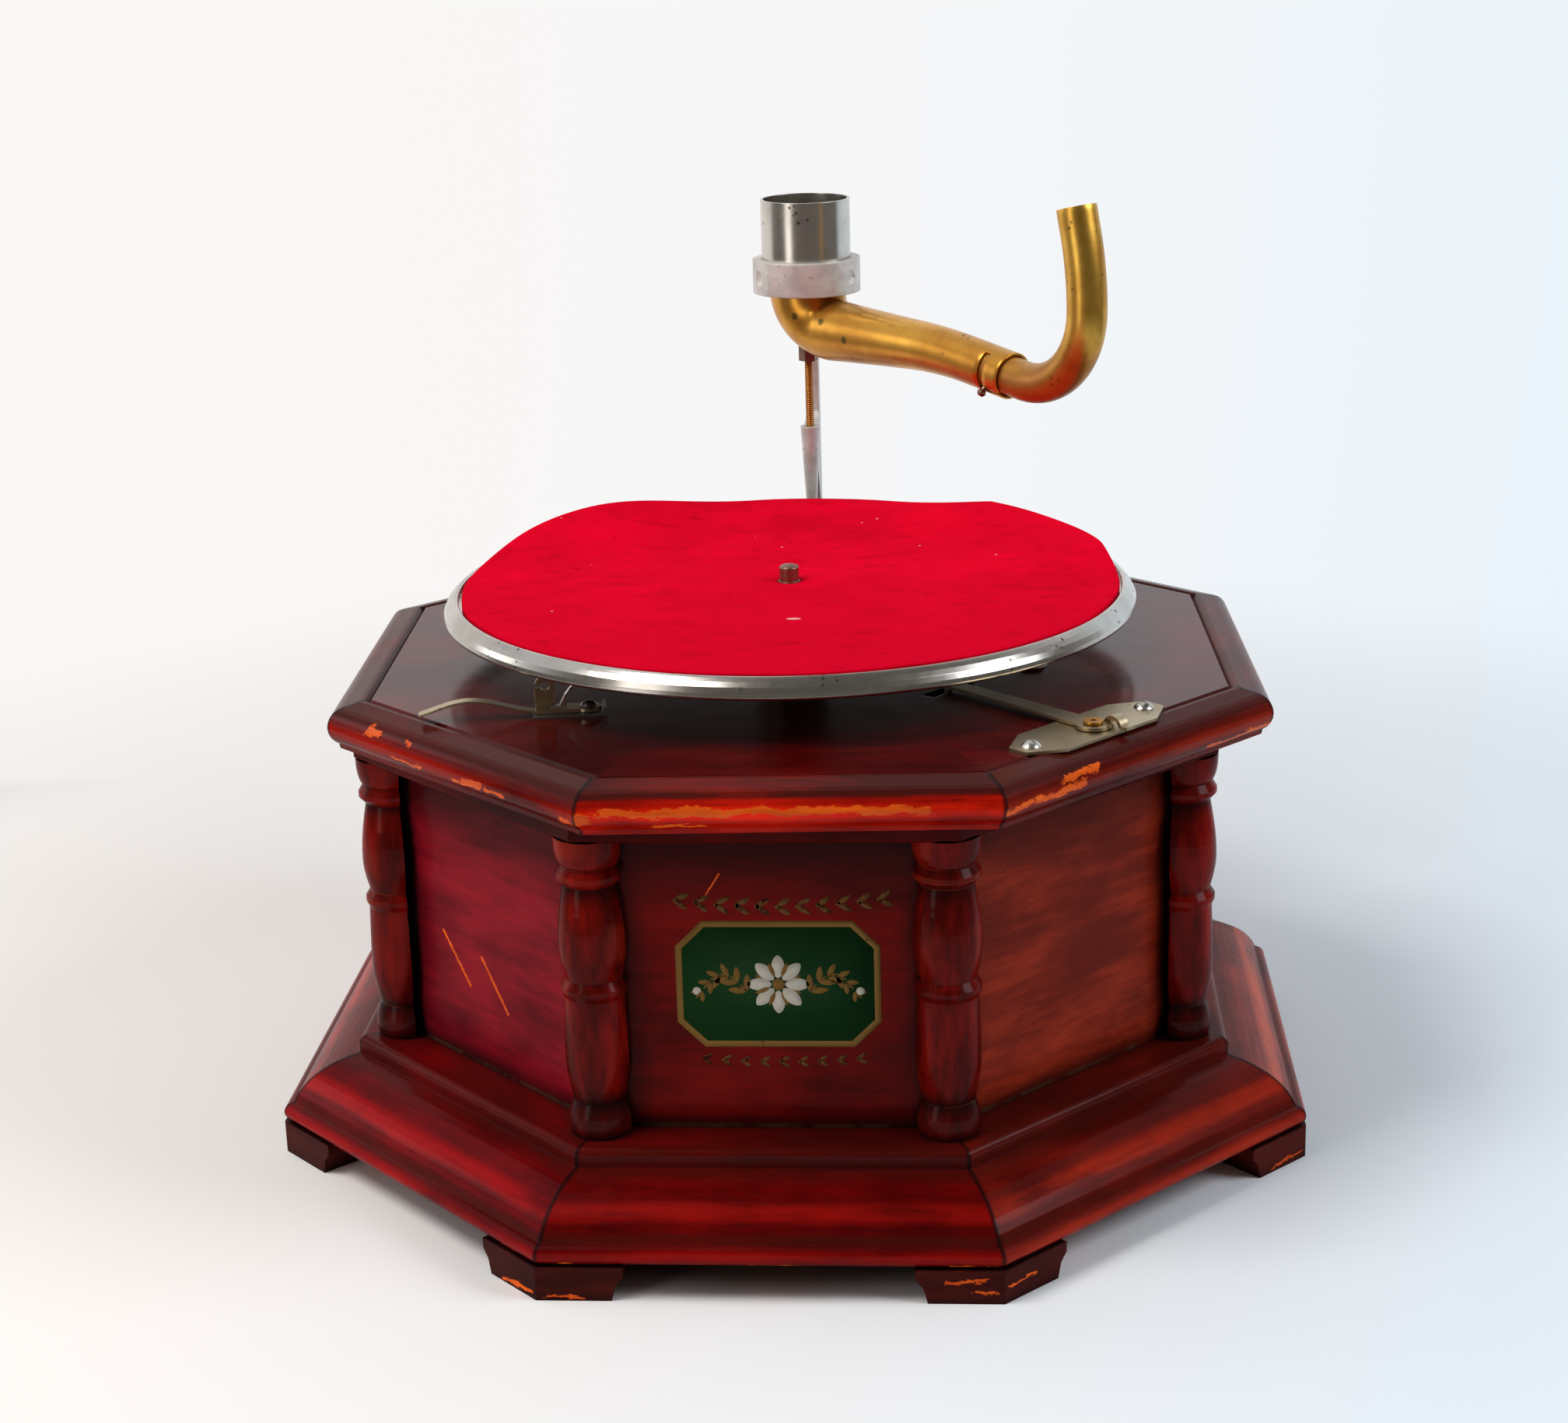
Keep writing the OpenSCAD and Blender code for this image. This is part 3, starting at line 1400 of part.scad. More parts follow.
module intermediate_gear() {
    color(brass)
        translate([intermediate_at.x, intermediate_at.y, 0]) {
            translate([0, 0, lower_top - motor_plate_t])
                cylinder(r = 3, h = motor_top - lower_top + motor_plate_t);
            translate([0, 0, barrel_z - 1])
                linear_extrude(7)
                    difference() {
                        polygon(teeth(pinion_teeth, gear_m, gear_play));
                        circle(r = 2.5);
                    }
            translate([0, 0, intermediate_z])
                linear_extrude(wheel_h)
                    difference() {
                        rotate(mesh_turn(intermediate_dir, pinion_teeth, intermediate_teeth))
                            polygon(teeth(intermediate_teeth, gear_m, gear_play));
                        circle(r = 2.5);
                        for (k = [0:4])
                            rotate(72 * k)
                                translate([intermediate_r * 0.58, 0])
                                    circle(r = intermediate_r * 0.24);
                    }
        }
}

// Places a part on the governor's axis, with +X pointing away from the spindle
module at_governor() {
    translate([0, 0, governor_z])
        rotate(-90)
            children();
}

module governor_shaft() {
    pinion_l = governor_face - 0.6;
    color(steel)
        at_governor()
            rotate([0, 90, 0]) {
                translate([0, 0, governor_pitch_r - pinion_l / 2])
                    linear_extrude(pinion_l)
                        rotate(180 / governor_pinion_teeth)
                            polygon(teeth(governor_pinion_teeth, governor_m, gear_play));
                translate([0, 0, governor_pitch_r])
                    cylinder(r = governor_r, h = governor_end - governor_pitch_r);
                translate([0, 0, collar_y])
                    cylinder(r = governor_r + 3, h = 5);
            }
}

module governor_disc() {
    color(brass)
        at_governor()
            rotate([0, 90, 0])
                translate([0, 0, governor_disc_y])
                    difference() {
                        union() {
                            cylinder(r = governor_disc_r, h = 1.6);
                            cylinder(r = governor_r + 3, h = 5);
                        }
                        translate([0, 0, -pass_gap])
                            cylinder(r = governor_r + run_gap, h = 7 + pass_gap);
                    }
}

// Three bowed leaf springs between the disc's collar and the fixed collar, each with its weight
module governor_springs() {
    from = governor_disc_y + 1.6 + slide_gap;
    to = collar_y + 5;
    seat = governor_r + 3 + joint_gap;
    t = 0.5;
    bow = 4.5;
    leaf = [for (i = [0:16]) let(u = i / 16)
        [from + (to - from) * u, seat + bow * pow(sin(180 * u), 2)]];
    middle = (from + to) / 2;
    color(steel)
        at_governor()
            for (k = [0:2])
                rotate([120 * k, 0, 0]) {
                    rotate([90, 0, 0])
                        linear_extrude(4, center = true)
                            polygon(concat(leaf, [for (i = [16:-1:0]) leaf[i] + [0, t]]));
                    translate([middle, 0, seat + bow + t / 2])
                        cylinder(r = 4, h = 4.5);
                }
}

module friction_lever() {
    arm_w = 6;
    pad_w = 4;
    pad_t = 2;
    pin_play = 2 * slide_gap;
    pad = pad_at - friction_at;
    pad_drop = friction_z - governor_z - governor_disc_r + 3;
    color(steel)
        translate([friction_at.x, friction_at.y, friction_z]) {
            linear_extrude(friction_t)
                difference() {
                    union() {
                        circle(r = friction_pin_r + 3);
                        rotate(-45)
                            translate([0, -arm_w / 2])
                                square([friction_reach + 6, arm_w]);
                        rotate(atan2(pad.y, pad.x))
                            translate([0, -arm_w / 2])
                                square([norm(pad) + pad_w, arm_w]);
                    }
                    circle(r = friction_pin_r + run_gap);
                    rotate(-45)
                        translate([friction_reach - 4, -speed_pin_r - pin_play])
                            square([12, 2 * (speed_pin_r + pin_play)]);
                }
            translate([pad.x - pad_w / 2, pad.y - pad_t / 2, -pad_drop])
                cube([pad_w, pad_t, pad_drop + friction_t / 2]);
        }
}

base_board();
plinth_mouldings();
bracket_feet();
for (k = [0:7]) panel(k);
for (k = [0:7]) column(k);
frieze();
top_panel();
top_mouldings();
platter();
felt_mat();
spindle();
governor_wheel();
brake_plate();
brake_lever();
brake_spring();
brake_screws();
regulator_plate();
regulator_lever();
regulator_rivet();
regulator_screws();
back_bracket();
bracket_ring();
bracket_lug();
bracket_screws();
horn_socket();
swivel_bush();
pivot_screw();
pivot_nut();
tonearm();
gooseneck();
motor_plate();
lower_plate();
motor_pillars();
motor_bolts();
motor_spacers();
spring_barrel();
barrel_cover();
mainspring();
barrel_arbor();
winding_wheel();
winding_shaft();
winding_escutcheon();
intermediate_gear();
governor_shaft();
governor_disc();
governor_springs();
friction_lever();
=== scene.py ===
"""Looks for an octagonal table-top gramophone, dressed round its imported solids."""
import json
import math

import bmesh
import bpy
from mathutils import Matrix, Vector


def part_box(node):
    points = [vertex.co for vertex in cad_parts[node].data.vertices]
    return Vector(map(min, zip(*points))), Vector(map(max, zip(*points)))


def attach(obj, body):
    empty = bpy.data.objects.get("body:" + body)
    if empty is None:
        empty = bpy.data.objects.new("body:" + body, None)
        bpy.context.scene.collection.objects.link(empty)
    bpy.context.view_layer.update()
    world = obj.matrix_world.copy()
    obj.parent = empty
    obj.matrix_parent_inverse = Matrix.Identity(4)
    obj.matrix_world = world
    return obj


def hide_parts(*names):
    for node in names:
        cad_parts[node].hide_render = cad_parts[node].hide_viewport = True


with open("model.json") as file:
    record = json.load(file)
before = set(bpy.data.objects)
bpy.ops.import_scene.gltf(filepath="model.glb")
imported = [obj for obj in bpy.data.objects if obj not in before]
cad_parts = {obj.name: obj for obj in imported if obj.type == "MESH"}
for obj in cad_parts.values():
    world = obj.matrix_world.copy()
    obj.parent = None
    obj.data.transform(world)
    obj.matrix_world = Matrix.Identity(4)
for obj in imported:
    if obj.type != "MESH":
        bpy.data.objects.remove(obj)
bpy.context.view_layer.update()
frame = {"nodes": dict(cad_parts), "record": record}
nodes = frame["nodes"]
MM = 0.001

# The camera, fitted to the plinth, the top and the platter of the photograph
IMAGE_WIDTH = 2016
FOCAL_PIXELS = 3579.0
SENSOR = 36.0
CAMERA_AZIMUTH = math.radians(4.16)
CAMERA_ELEVATION = math.radians(17.23)
CAMERA_ROLL = math.radians(-1.58)
CAMERA_DISTANCE = 1040.5 * MM
AIM_SIDEWAYS = -3.3 * MM
AIM_HEIGHT = 144.1 * MM

# Levels and sizes read from the solids
plinth_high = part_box("plinth_mouldings")[1].z
panel_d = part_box("panel_right")[1].x
frieze_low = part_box("frieze")[0].z
felt_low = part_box("felt_mat")[0].z
felt_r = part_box("felt_mat")[1].x
arm_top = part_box("tonearm")[1].z
pivot = Vector((0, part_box("swivel_bush")[0].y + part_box("swivel_bush")[1].y, 0)) / 2

# The cabinet has eight sides, and its old top sits a little askew on it
SIDES = 8
SECTOR = 2 * math.pi / SIDES
TOP_TURN = math.radians(1.9)
TOP_SHIFT = 4 * MM
COLUMN_RING_R = 152.7 * MM


def in_metres(values):
    return tuple(value * MM for value in values)


class Finish:
    """A material, or the world, being mixed: adds nodes, joins their sockets and ends in one shader."""

    def __init__(self, name, world=False):
        self.made = (bpy.data.worlds if world else bpy.data.materials).new(name)
        self.made.use_nodes = True
        self.tree = self.made.node_tree
        self.tree.nodes.clear()
        self.out = self.node("OutputWorld" if world else "OutputMaterial")
        self.place = self.node("TexCoord").outputs["Generated" if world else "Object"]

    def node(self, kind, **settings):
        made = self.tree.nodes.new("ShaderNode" + kind)
        for key, value in settings.items():
            setattr(made, key, value)
        return made

    def feed(self, socket, value):
        if isinstance(value, bpy.types.NodeSocket):
            self.tree.links.new(value, socket)
        else:
            socket.default_value = value

    def math(self, operation, *values, clamp=False):
        made = self.node("Math", operation=operation, use_clamp=clamp)
        for socket, value in zip(made.inputs, values):
            self.feed(socket, value)
        return made.outputs[0]

    def scaled(self, value, share, more=0.0):
        """A value times a share, with more added."""
        return self.math("MULTIPLY_ADD", value, share, more)

    def total(self, *terms):
        """The sum of some values, each given with its weight."""
        added = 0.0
        for value, weight in terms:
            added = self.scaled(value, weight, added)
        return added

    def both(self, mask, other):
        """1 where both masks are."""
        return self.math("MULTIPLY", mask, other)

    def either(self, mask, *others):
        """1 where any of the masks is."""
        for other in others:
            mask = self.math("MAXIMUM", mask, other)
        return mask

    def vector(self, operation, *values, scale=None):
        made = self.node("VectorMath", operation=operation)
        for socket, value in zip(made.inputs, values):
            self.feed(socket, value)
        if scale is not None:
            self.feed(made.inputs["Scale"], scale)
        measures = ("LENGTH", "DOT_PRODUCT", "DISTANCE")
        return made.outputs["Value" if operation in measures else "Vector"]

    def split(self, vector):
        made = self.node("SeparateXYZ")
        self.feed(made.inputs[0], vector)
        return made.outputs

    def join(self, x, y, z):
        made = self.node("CombineXYZ")
        for socket, value in zip(made.inputs, (x, y, z)):
            self.feed(socket, value)
        return made.outputs[0]

    def turned(self, vector, angle):
        """A vector turned about Z."""
        made = self.node("VectorRotate", rotation_type="Z_AXIS")
        self.feed(made.inputs["Vector"], vector)
        self.feed(made.inputs["Angle"], angle)
        return made.outputs[0]

    def mix(self, factor, a, b, blend="MIX"):
        made = self.node("Mix", data_type="RGBA", blend_type=blend)
        for socket, value in zip((made.inputs[0], made.inputs[6], made.inputs[7]), (factor, a, b)):
            self.feed(socket, value)
        return made.outputs[2]

    def cover(self, colour, over, mask, share=1.0):
        """A colour with a share of another laid over it where the mask is."""
        return self.mix(self.math("MULTIPLY", mask, share), colour, over)

    def ramp(self, value, stops, interpolation="LINEAR"):
        made = self.node("ValToRGB")
        made.color_ramp.interpolation = interpolation
        elements = made.color_ramp.elements
        while len(elements) < len(stops):
            elements.new(0.5)
        for element, (position, colour) in zip(elements, stops):
            element.position = position
            element.color = colour
        self.feed(made.inputs[0], value)
        return made.outputs[0]

    def step(self, value, low, high):
        """0 below low and 1 above high, or the other way round, with a smooth change between."""
        made = self.node("MapRange", interpolation_type="SMOOTHSTEP")
        for socket, number in zip(made.inputs, (value, low, high, 0.0, 1.0)):
            self.feed(socket, number)
        return made.outputs[0]

    def between(self, value, low, high, soft):
        """1 between two values, 0 outside them."""
        return self.both(self.step(value, low - soft, low + soft), self.step(value, high + soft, high - soft))

    def noise(self, scale, detail=3.0, roughness=0.55, at=None, stretch=(1, 1, 1), seed=0.0):
        made = self.node("TexNoise", noise_dimensions="4D")
        place = self.vector("MULTIPLY", self.place if at is None else at, stretch)
        for name, value in (("Vector", place), ("W", seed), ("Scale", scale), ("Detail", detail),
                            ("Roughness", roughness)):
            self.feed(made.inputs[name], value)
        return made.outputs[0]

    def cells(self, scale):
        made = self.node("TexVoronoi")
        self.feed(made.inputs["Vector"], self.place)
        self.feed(made.inputs["Scale"], scale)
        return made.outputs

    def bump(self, height, distance, strength, normal=None):
        made = self.node("Bump")
        for name, value in (("Height", height), ("Distance", distance), ("Strength", strength)):
            self.feed(made.inputs[name], value)
        if normal is not None:
            self.feed(made.inputs["Normal"], normal)
        return made.outputs[0]

    def rounded(self, radius):
        """The normal with every edge softened by a radius."""
        made = self.node("Bevel", samples=4)
        made.inputs["Radius"].default_value = radius
        return made.outputs[0]

    def arrises(self, radius):
        """1 on sharp edges, where the rounded normal leaves the true one."""
        true = self.node("NewGeometry").outputs["Normal"]
        return self.step(self.vector("DOT_PRODUCT", self.rounded(radius), true), 0.985, 0.93)

    def nooks(self, distance, low, high):
        """1 in corners and under overhangs, where shade falls: the mask of painted shade."""
        made = self.node("AmbientOcclusion", samples=6)
        made.inputs["Distance"].default_value = distance
        return self.step(made.outputs["AO"], high, low)

    def end(self, shader):
        self.feed(self.out.inputs[0], shader.outputs[0])
        return self.made

    def shade(self, **sockets):
        """Ends the material in one principled shader."""
        made = self.node("BsdfPrincipled")
        for name, value in sockets.items():
            self.feed(made.inputs[name.replace("_", " ")], value)
        return self.end(made)


# WOOD

BARE_WOOD = (0.95, 0.15, 0.012, 1)
DARK_BARE_WOOD = (0.6, 0.06, 0.007, 1)
RUBBED_WOOD = (0.38, 0.045, 0.008, 1)
# Near-black old glaze in the pores and mitres; the same colour paints shade in corners, under overhangs and
# at panel edges, and darkens the columns' necks and feet
GLAZE_AND_PAINTED_SHADE = (0.008, 0.0025, 0.0025, 1)
RED_GLAZE = (0.055, 0.006, 0.004, 1)
DUST = (0.085, 0.06, 0.035, 1)
COLUMN_DARK, COLUMN_LIGHT = (0.06, 0.002, 0.001, 1), (0.24, 0.006, 0.003, 1)
COLUMN_WORN = (0.34, 0.02, 0.006, 1)
# How a stain changes where it has sunk in, where it lies thin, and where it is rubbed away
SUNK_IN, LYING_THIN, RUBBED_AWAY = (0.42, 0.34, 0.38, 1), (1.55, 1.45, 1.2, 1), (2.7, 3.0, 1.6, 1)
# Stains of the eight sides, from the right one round by the back to the front right
PANEL_STAINS = [(0.2, 0.02, 0.012), (0.2, 0.014, 0.009), (0.2, 0.012, 0.008), (0.24, 0.012, 0.012),
                (0.26, 0.012, 0.014), (0.22, 0.005, 0.016), (0.16, 0.003, 0.002), (0.33, 0.032, 0.012)]
NOSE_STAINS = [(0.26, 0.03, 0.015), (0.26, 0.02, 0.01), (0.26, 0.016, 0.008), (0.26, 0.014, 0.008),
               (0.26, 0.01, 0.005), (0.14, 0.003, 0.002), (0.44, 0.008, 0.002), (0.12, 0.007, 0.004)]
PLINTH_STAINS = [(0.24, 0.03, 0.02), (0.2, 0.012, 0.008), (0.2, 0.01, 0.007), (0.2, 0.008, 0.006),
                 (0.22, 0.005, 0.005), (0.15, 0.001, 0.003), (0.12, 0.0015, 0.0015), (0.16, 0.008, 0.004)]
FOOT_STAINS = [(0.055, 0.006, 0.004)] * SIDES
DECK_STAINS = [(0.075, 0.002, 0.002)] * SIDES
WOOD_SHEEN = 0.03
ARRIS_R = 0.9 * MM
# How far a line of glaze strays from its level
GLAZE_STRAY = 1.2 * MM


def on_the_side(finish, askew):
    """Place on a cabinet side (outwards, along, up) and the side's number, counted from the right."""
    place = finish.place
    if askew:
        place = finish.turned(finish.vector("SUBTRACT", place, (TOP_SHIFT, 0, 0)), -TOP_TURN)
    x, y, _ = finish.split(place)
    turn = finish.math("ROUND", finish.math("DIVIDE", finish.math("ARCTAN2", y, x), SECTOR))
    at = finish.turned(place, finish.scaled(turn, -SECTOR))
    return at, finish.math("FLOORED_MODULO", turn, float(SIDES))


def side_stain(finish, number, stains):
    stops = [(k / SIDES, (*colour, 1)) for k, colour in enumerate(stains)]
    return finish.ramp(finish.scaled(number, 1 / SIDES, 0.5 / SIDES), stops, "CONSTANT")


def scratch(finish, at, start, end, width):
    """1 along a straight scratch on a side, given by its ends (along, up)."""
    direction = Vector(end) - Vector(start)
    _, along, up = finish.split(at)
    spot = finish.vector("SUBTRACT", finish.join(along, up, 0.0), (*start, 0.0))
    reach = finish.vector("DOT_PRODUCT", spot, (*direction, 0.0))
    share = finish.math("DIVIDE", reach, direction.length_squared, clamp=True)
    nearest = finish.vector("SCALE", (*direction, 0.0), scale=share)
    ragged = finish.scaled(finish.noise(900, 2), width * 1.6)
    return finish.math("LESS_THAN", finish.vector("DISTANCE", spot, nearest), ragged)


def chip(finish, at, ragged, ends, levels):
    """1 on a ragged flake of bare wood, between two ends along a side and two levels."""
    _, along, up = finish.split(at)
    length = finish.between(finish.scaled(ragged, 2.0, along), *ends, 0.3 * MM)
    return finish.both(length, finish.between(finish.math("ADD", up, ragged), *levels, 0.2 * MM))


def damaged(finish, colour, bare, at, number, chips, scratches):
    """A side's chips and scratches, down to the bare wood."""
    marks = [(side, scratch(finish, at, in_metres(start), in_metres(end), width * MM))
             for side, start, end, width in scratches]
    if chips:
        ragged = finish.scaled(finish.noise(200, 5, 0.75, at, (1, 0.4, 1)), 9 * MM, -4.5 * MM)
        marks += [(side, chip(finish, at, ragged, in_metres(ends), in_metres(levels)))
                  for side, ends, levels in chips]
    for side, mark in marks:
        colour = finish.cover(colour, bare, mark, finish.math("COMPARE", number, float(side), 0.4))
    return colour


def glazed_moulding(finish, colour, stain, tone, strokes, at, bands, ridges):
    """Glaze lying in a moulding's hollows and at its mitres, and rubbed away on its ridges."""
    out, along, up = finish.split(at)
    level = finish.scaled(strokes, 2 * GLAZE_STRAY, finish.math("SUBTRACT", up, GLAZE_STRAY))
    rubbed = finish.mix(1.0, stain, RUBBED_AWAY, "MULTIPLY")
    for low, high in ridges:
        ridge = finish.between(level, low * MM, high * MM, 1.2 * MM)
        colour = finish.cover(colour, rubbed, finish.both(ridge, finish.step(tone, 0.36, 0.62)), 0.8)
    for low, high, share in bands:
        patchy = finish.scaled(finish.step(tone, 0.75, 0.4), 0.4 * share, 0.6 * share)
        band = finish.between(level, low * MM, high * MM, 0.9 * MM)
        colour = finish.cover(colour, RED_GLAZE, band, patchy)
    half = finish.scaled(out, math.tan(SECTOR / 2))
    to_mitre = finish.math("SUBTRACT", half, finish.math("ABSOLUTE", along))
    gathered = finish.scaled(finish.noise(60, 3, 0.6, at), 3 * MM)
    return finish.cover(colour, GLAZE_AND_PAINTED_SHADE, finish.step(to_mitre, gathered, 0.3 * MM), 0.8)


def panel_painted_shade(finish, colour, cloud, at, low, high, half):
    """A panel with painted shade towards its top, its foot and its sides, in patches, and with dust along its
    foot.
    """
    _, along, up = finish.split(at)
    # Painted shade: the panel darkens near its top, its foot and its sides
    edge = finish.either(finish.step(up, high - 36 * MM, high - 4 * MM), finish.step(up, low + 9 * MM, low),
                         finish.step(finish.math("ABSOLUTE", along), half - 18 * MM, half))
    colour = finish.cover(colour, GLAZE_AND_PAINTED_SHADE, finish.both(edge, finish.step(cloud, 0.2, 0.6)), 0.85)
    foot = finish.step(up, low + 2.2 * MM, low + 0.6 * MM)
    return finish.cover(colour, DUST, finish.both(foot, finish.step(finish.noise(120), 0.4, 0.6)), 0.4)


def varnished(name, stains, grain, rough, coat, askew=False, chips=(), scratches=(), wear=0.5, shaded_edges=None,
              bands=(), ridges=()):
    """Red-stained wood under old varnish, with its grain along the side or across the cabinet, and with shade
    painted into its corners and under overhangs. In mm, chips are (side, ends, levels), scratches (side,
    start, end, width), bands of glaze on a moulding (low, high, share) and ridges (low, high). Shaded edges
    are a panel's (low, high, half width) in metres, near which shade is painted, and wear the share of rubbed
    edges."""
    finish = Finish(name)
    at, number = on_the_side(finish, askew)
    seed = finish.scaled(number, 3.7)
    place, stretch = (at, (7, 1, 7)) if grain == "along" else (finish.place, (1, 7, 7))
    streaks = finish.noise(30, 5, 0.62, place, stretch, seed)
    strokes = finish.noise(22, 3, 0.5, place, tuple(s ** 0.5 for s in stretch), seed)
    pores = finish.noise(150, 3, 0.7, place, stretch, seed)
    cloud = finish.noise(14, 4, 0.55, at, seed=seed)
    tone = finish.total((streaks, 0.3), (strokes, 0.25), (cloud, 0.52))
    stain = side_stain(finish, number, stains)
    colour = finish.mix(finish.step(tone, 0.4, 0.7), finish.mix(1.0, stain, SUNK_IN, "MULTIPLY"),
                        finish.mix(1.0, stain, LYING_THIN, "MULTIPLY"))
    colour = finish.cover(colour, GLAZE_AND_PAINTED_SHADE, finish.step(pores, 0.56, 0.7), 0.5)
    # Painted shade: the wood is darkened in corners and under overhangs
    colour = finish.cover(colour, GLAZE_AND_PAINTED_SHADE, finish.nooks(9 * MM, 0.3, 0.78))
    if bands:
        colour = glazed_moulding(finish, colour, stain, tone, strokes, at, bands, ridges)
    if shaded_edges:
        colour = panel_painted_shade(finish, colour, cloud, at, *shaded_edges)
    rubbed = finish.both(finish.arrises(ARRIS_R), finish.step(finish.noise(70, 4, 0.65, at), 0.62, 0.72))
    colour = finish.cover(colour, RUBBED_WOOD, rubbed, wear)
    bare = finish.mix(finish.step(streaks, 0.3, 0.7), DARK_BARE_WOOD, BARE_WOOD)
    colour = damaged(finish, colour, bare, at, number, chips, scratches)
    uneven = finish.total((pores, 0.12), (finish.noise(70, 2, 0.5, at), 0.5))
    return finish.shade(Base_Color=colour, Roughness=finish.scaled(cloud, 0.2, rough - 0.1),
                        Normal=finish.bump(uneven, 0.5 * MM, 0.5, finish.rounded(ARRIS_R)), Coat_Weight=coat,
                        Coat_Roughness=0.12, Specular_IOR_Level=WOOD_SHEEN)


def turned_wood(name):
    """The columns' wood: upright grain, darker in the necks and towards the foot, painted shade in its nooks,
    and worn rings.
    """
    neck_r, ring_r, foot_high = 8.6 * MM, 11.6 * MM, plinth_high + 11 * MM
    finish = Finish(name)
    x, y, up = finish.split(finish.place)
    sector = finish.math("FLOOR", finish.math("DIVIDE", finish.math("ARCTAN2", y, x), SECTOR))
    spun = finish.turned(finish.place, finish.scaled(sector, -SECTOR, -SECTOR / 2))
    local = finish.vector("SUBTRACT", spun, (COLUMN_RING_R, 0, 0))
    out, along, _ = finish.split(local)
    radius = finish.vector("LENGTH", finish.join(out, along, 0.0))
    seed = finish.scaled(finish.math("FLOORED_MODULO", sector, float(SIDES)), 2.3)
    streaks = finish.noise(60, 5, 0.6, local, (2.5, 2.5, 0.6), seed)
    cloud = finish.noise(40, 3, 0.5, local, (1, 1, 0.7), seed)
    colour = finish.mix(finish.step(streaks, 0.35, 0.72), COLUMN_DARK, COLUMN_LIGHT)
    # Darker in the thin necks of the turning
    colour = finish.cover(colour, GLAZE_AND_PAINTED_SHADE, finish.step(radius, neck_r + 2 * MM, neck_r))
    worn = finish.both(finish.step(radius, ring_r - 0.5 * MM, ring_r), finish.step(cloud, 0.5, 0.72))
    colour = finish.cover(colour, COLUMN_WORN, worn, 0.5)
    # Darker towards the column's foot
    colour = finish.cover(colour, GLAZE_AND_PAINTED_SHADE, finish.step(up, foot_high + 4 * MM, foot_high), 0.6)
    # Painted shade: the wood is darkened in corners and under overhangs
    colour = finish.cover(colour, GLAZE_AND_PAINTED_SHADE, finish.nooks(6 * MM, 0.35, 0.75))
    rubbed = finish.both(finish.arrises(0.6 * MM), finish.step(cloud, 0.47, 0.58))
    colour = finish.cover(colour, RUBBED_WOOD, rubbed, 0.6)
    fibres = finish.noise(240, 3, 0.6, local, (1, 1, 0.3))
    return finish.shade(Base_Color=colour, Roughness=finish.scaled(cloud, 0.2, 0.2),
                        Normal=finish.bump(fibres, 0.3 * MM, 0.35, finish.rounded(0.5 * MM)),
                        Coat_Weight=0.09, Coat_Roughness=0.05, Specular_IOR_Level=WOOD_SHEEN)


# METALS, CLOTH AND PRINT

BRIGHTER_BRASS = (0.82, 0.5, 0.09, 1)
CAST_DARK, CAST_PALE, CAST_PIT = (0.56, 0.54, 0.52, 1), (0.78, 0.75, 0.71, 1), (0.26, 0.23, 0.2, 1)
FELT_DEEP, FELT_BRIGHT = (0.72, 0.0004, 0.018, 1), (0.9, 0.0005, 0.024, 1)
FELT_FRONT, FELT_RUBBED = (0.62, 0.0004, 0.017, 1), (0.45, 0.0004, 0.012, 1)
FELT_SOILED, FELT_NAP = (0.36, 0.0004, 0.01, 1), (0.9, 0.004, 0.04, 1)
LINT = (0.8, 0.5, 0.5, 1)
LINT_AT = (4.8 * MM, -53.4 * MM)
BENEATH_PRINT = (0.05, 0.006, 0.004, 1)


def aged_metal(name, bright, dull, tarnish, rough, spots=0.06, blots=(), film=0.0, brightens=None):
    """Polished metal gone dull in clouds, with small dark spots, fine rubbing marks and any larger blots,
    which are given by their places. Film is the share of the surface that old lacquer has made matt, and
    brightens the two heights between which it turns to brighter brass with no film."""
    finish = Finish(name)
    cloud = finish.noise(38, 4, 0.6)
    rub = finish.noise(260, 3, 0.65)
    rare = finish.noise(95, 2, 0.5, seed=4.0)
    spot = finish.both(finish.step(finish.cells(420)["Distance"], 0.34, 0.2),
                       finish.step(rare, 0.66 - spots, 0.7 - spots))
    for blot in blots:
        gap = finish.vector("DISTANCE", finish.place, in_metres(blot))
        spot = finish.either(spot, finish.step(finish.scaled(rub, 2 * MM, gap), 2.9 * MM, 1.9 * MM))
    colour = finish.mix(finish.step(cloud, 0.3, 0.75), bright, dull)
    metal = 1.0 - film
    if brightens:
        # Above these heights the metal turns to brighter brass with no film
        brighter = finish.step(finish.split(finish.place)[2], *brightens)
        colour = finish.mix(brighter, colour, finish.mix(finish.step(cloud, 0.35, 0.7), BRIGHTER_BRASS, bright))
        metal = finish.scaled(brighter, film, metal)
    colour = finish.cover(colour, tarnish, spot, 0.85)
    relief = finish.total((rub, 0.4), (spot, -0.6))
    return finish.shade(Base_Color=colour, Metallic=metal,
                        Roughness=finish.scaled(cloud, 0.2, finish.scaled(rub, 0.14, rough - 0.15)),
                        Normal=finish.bump(relief, 0.05 * MM, 0.25, finish.rounded(0.25 * MM)))


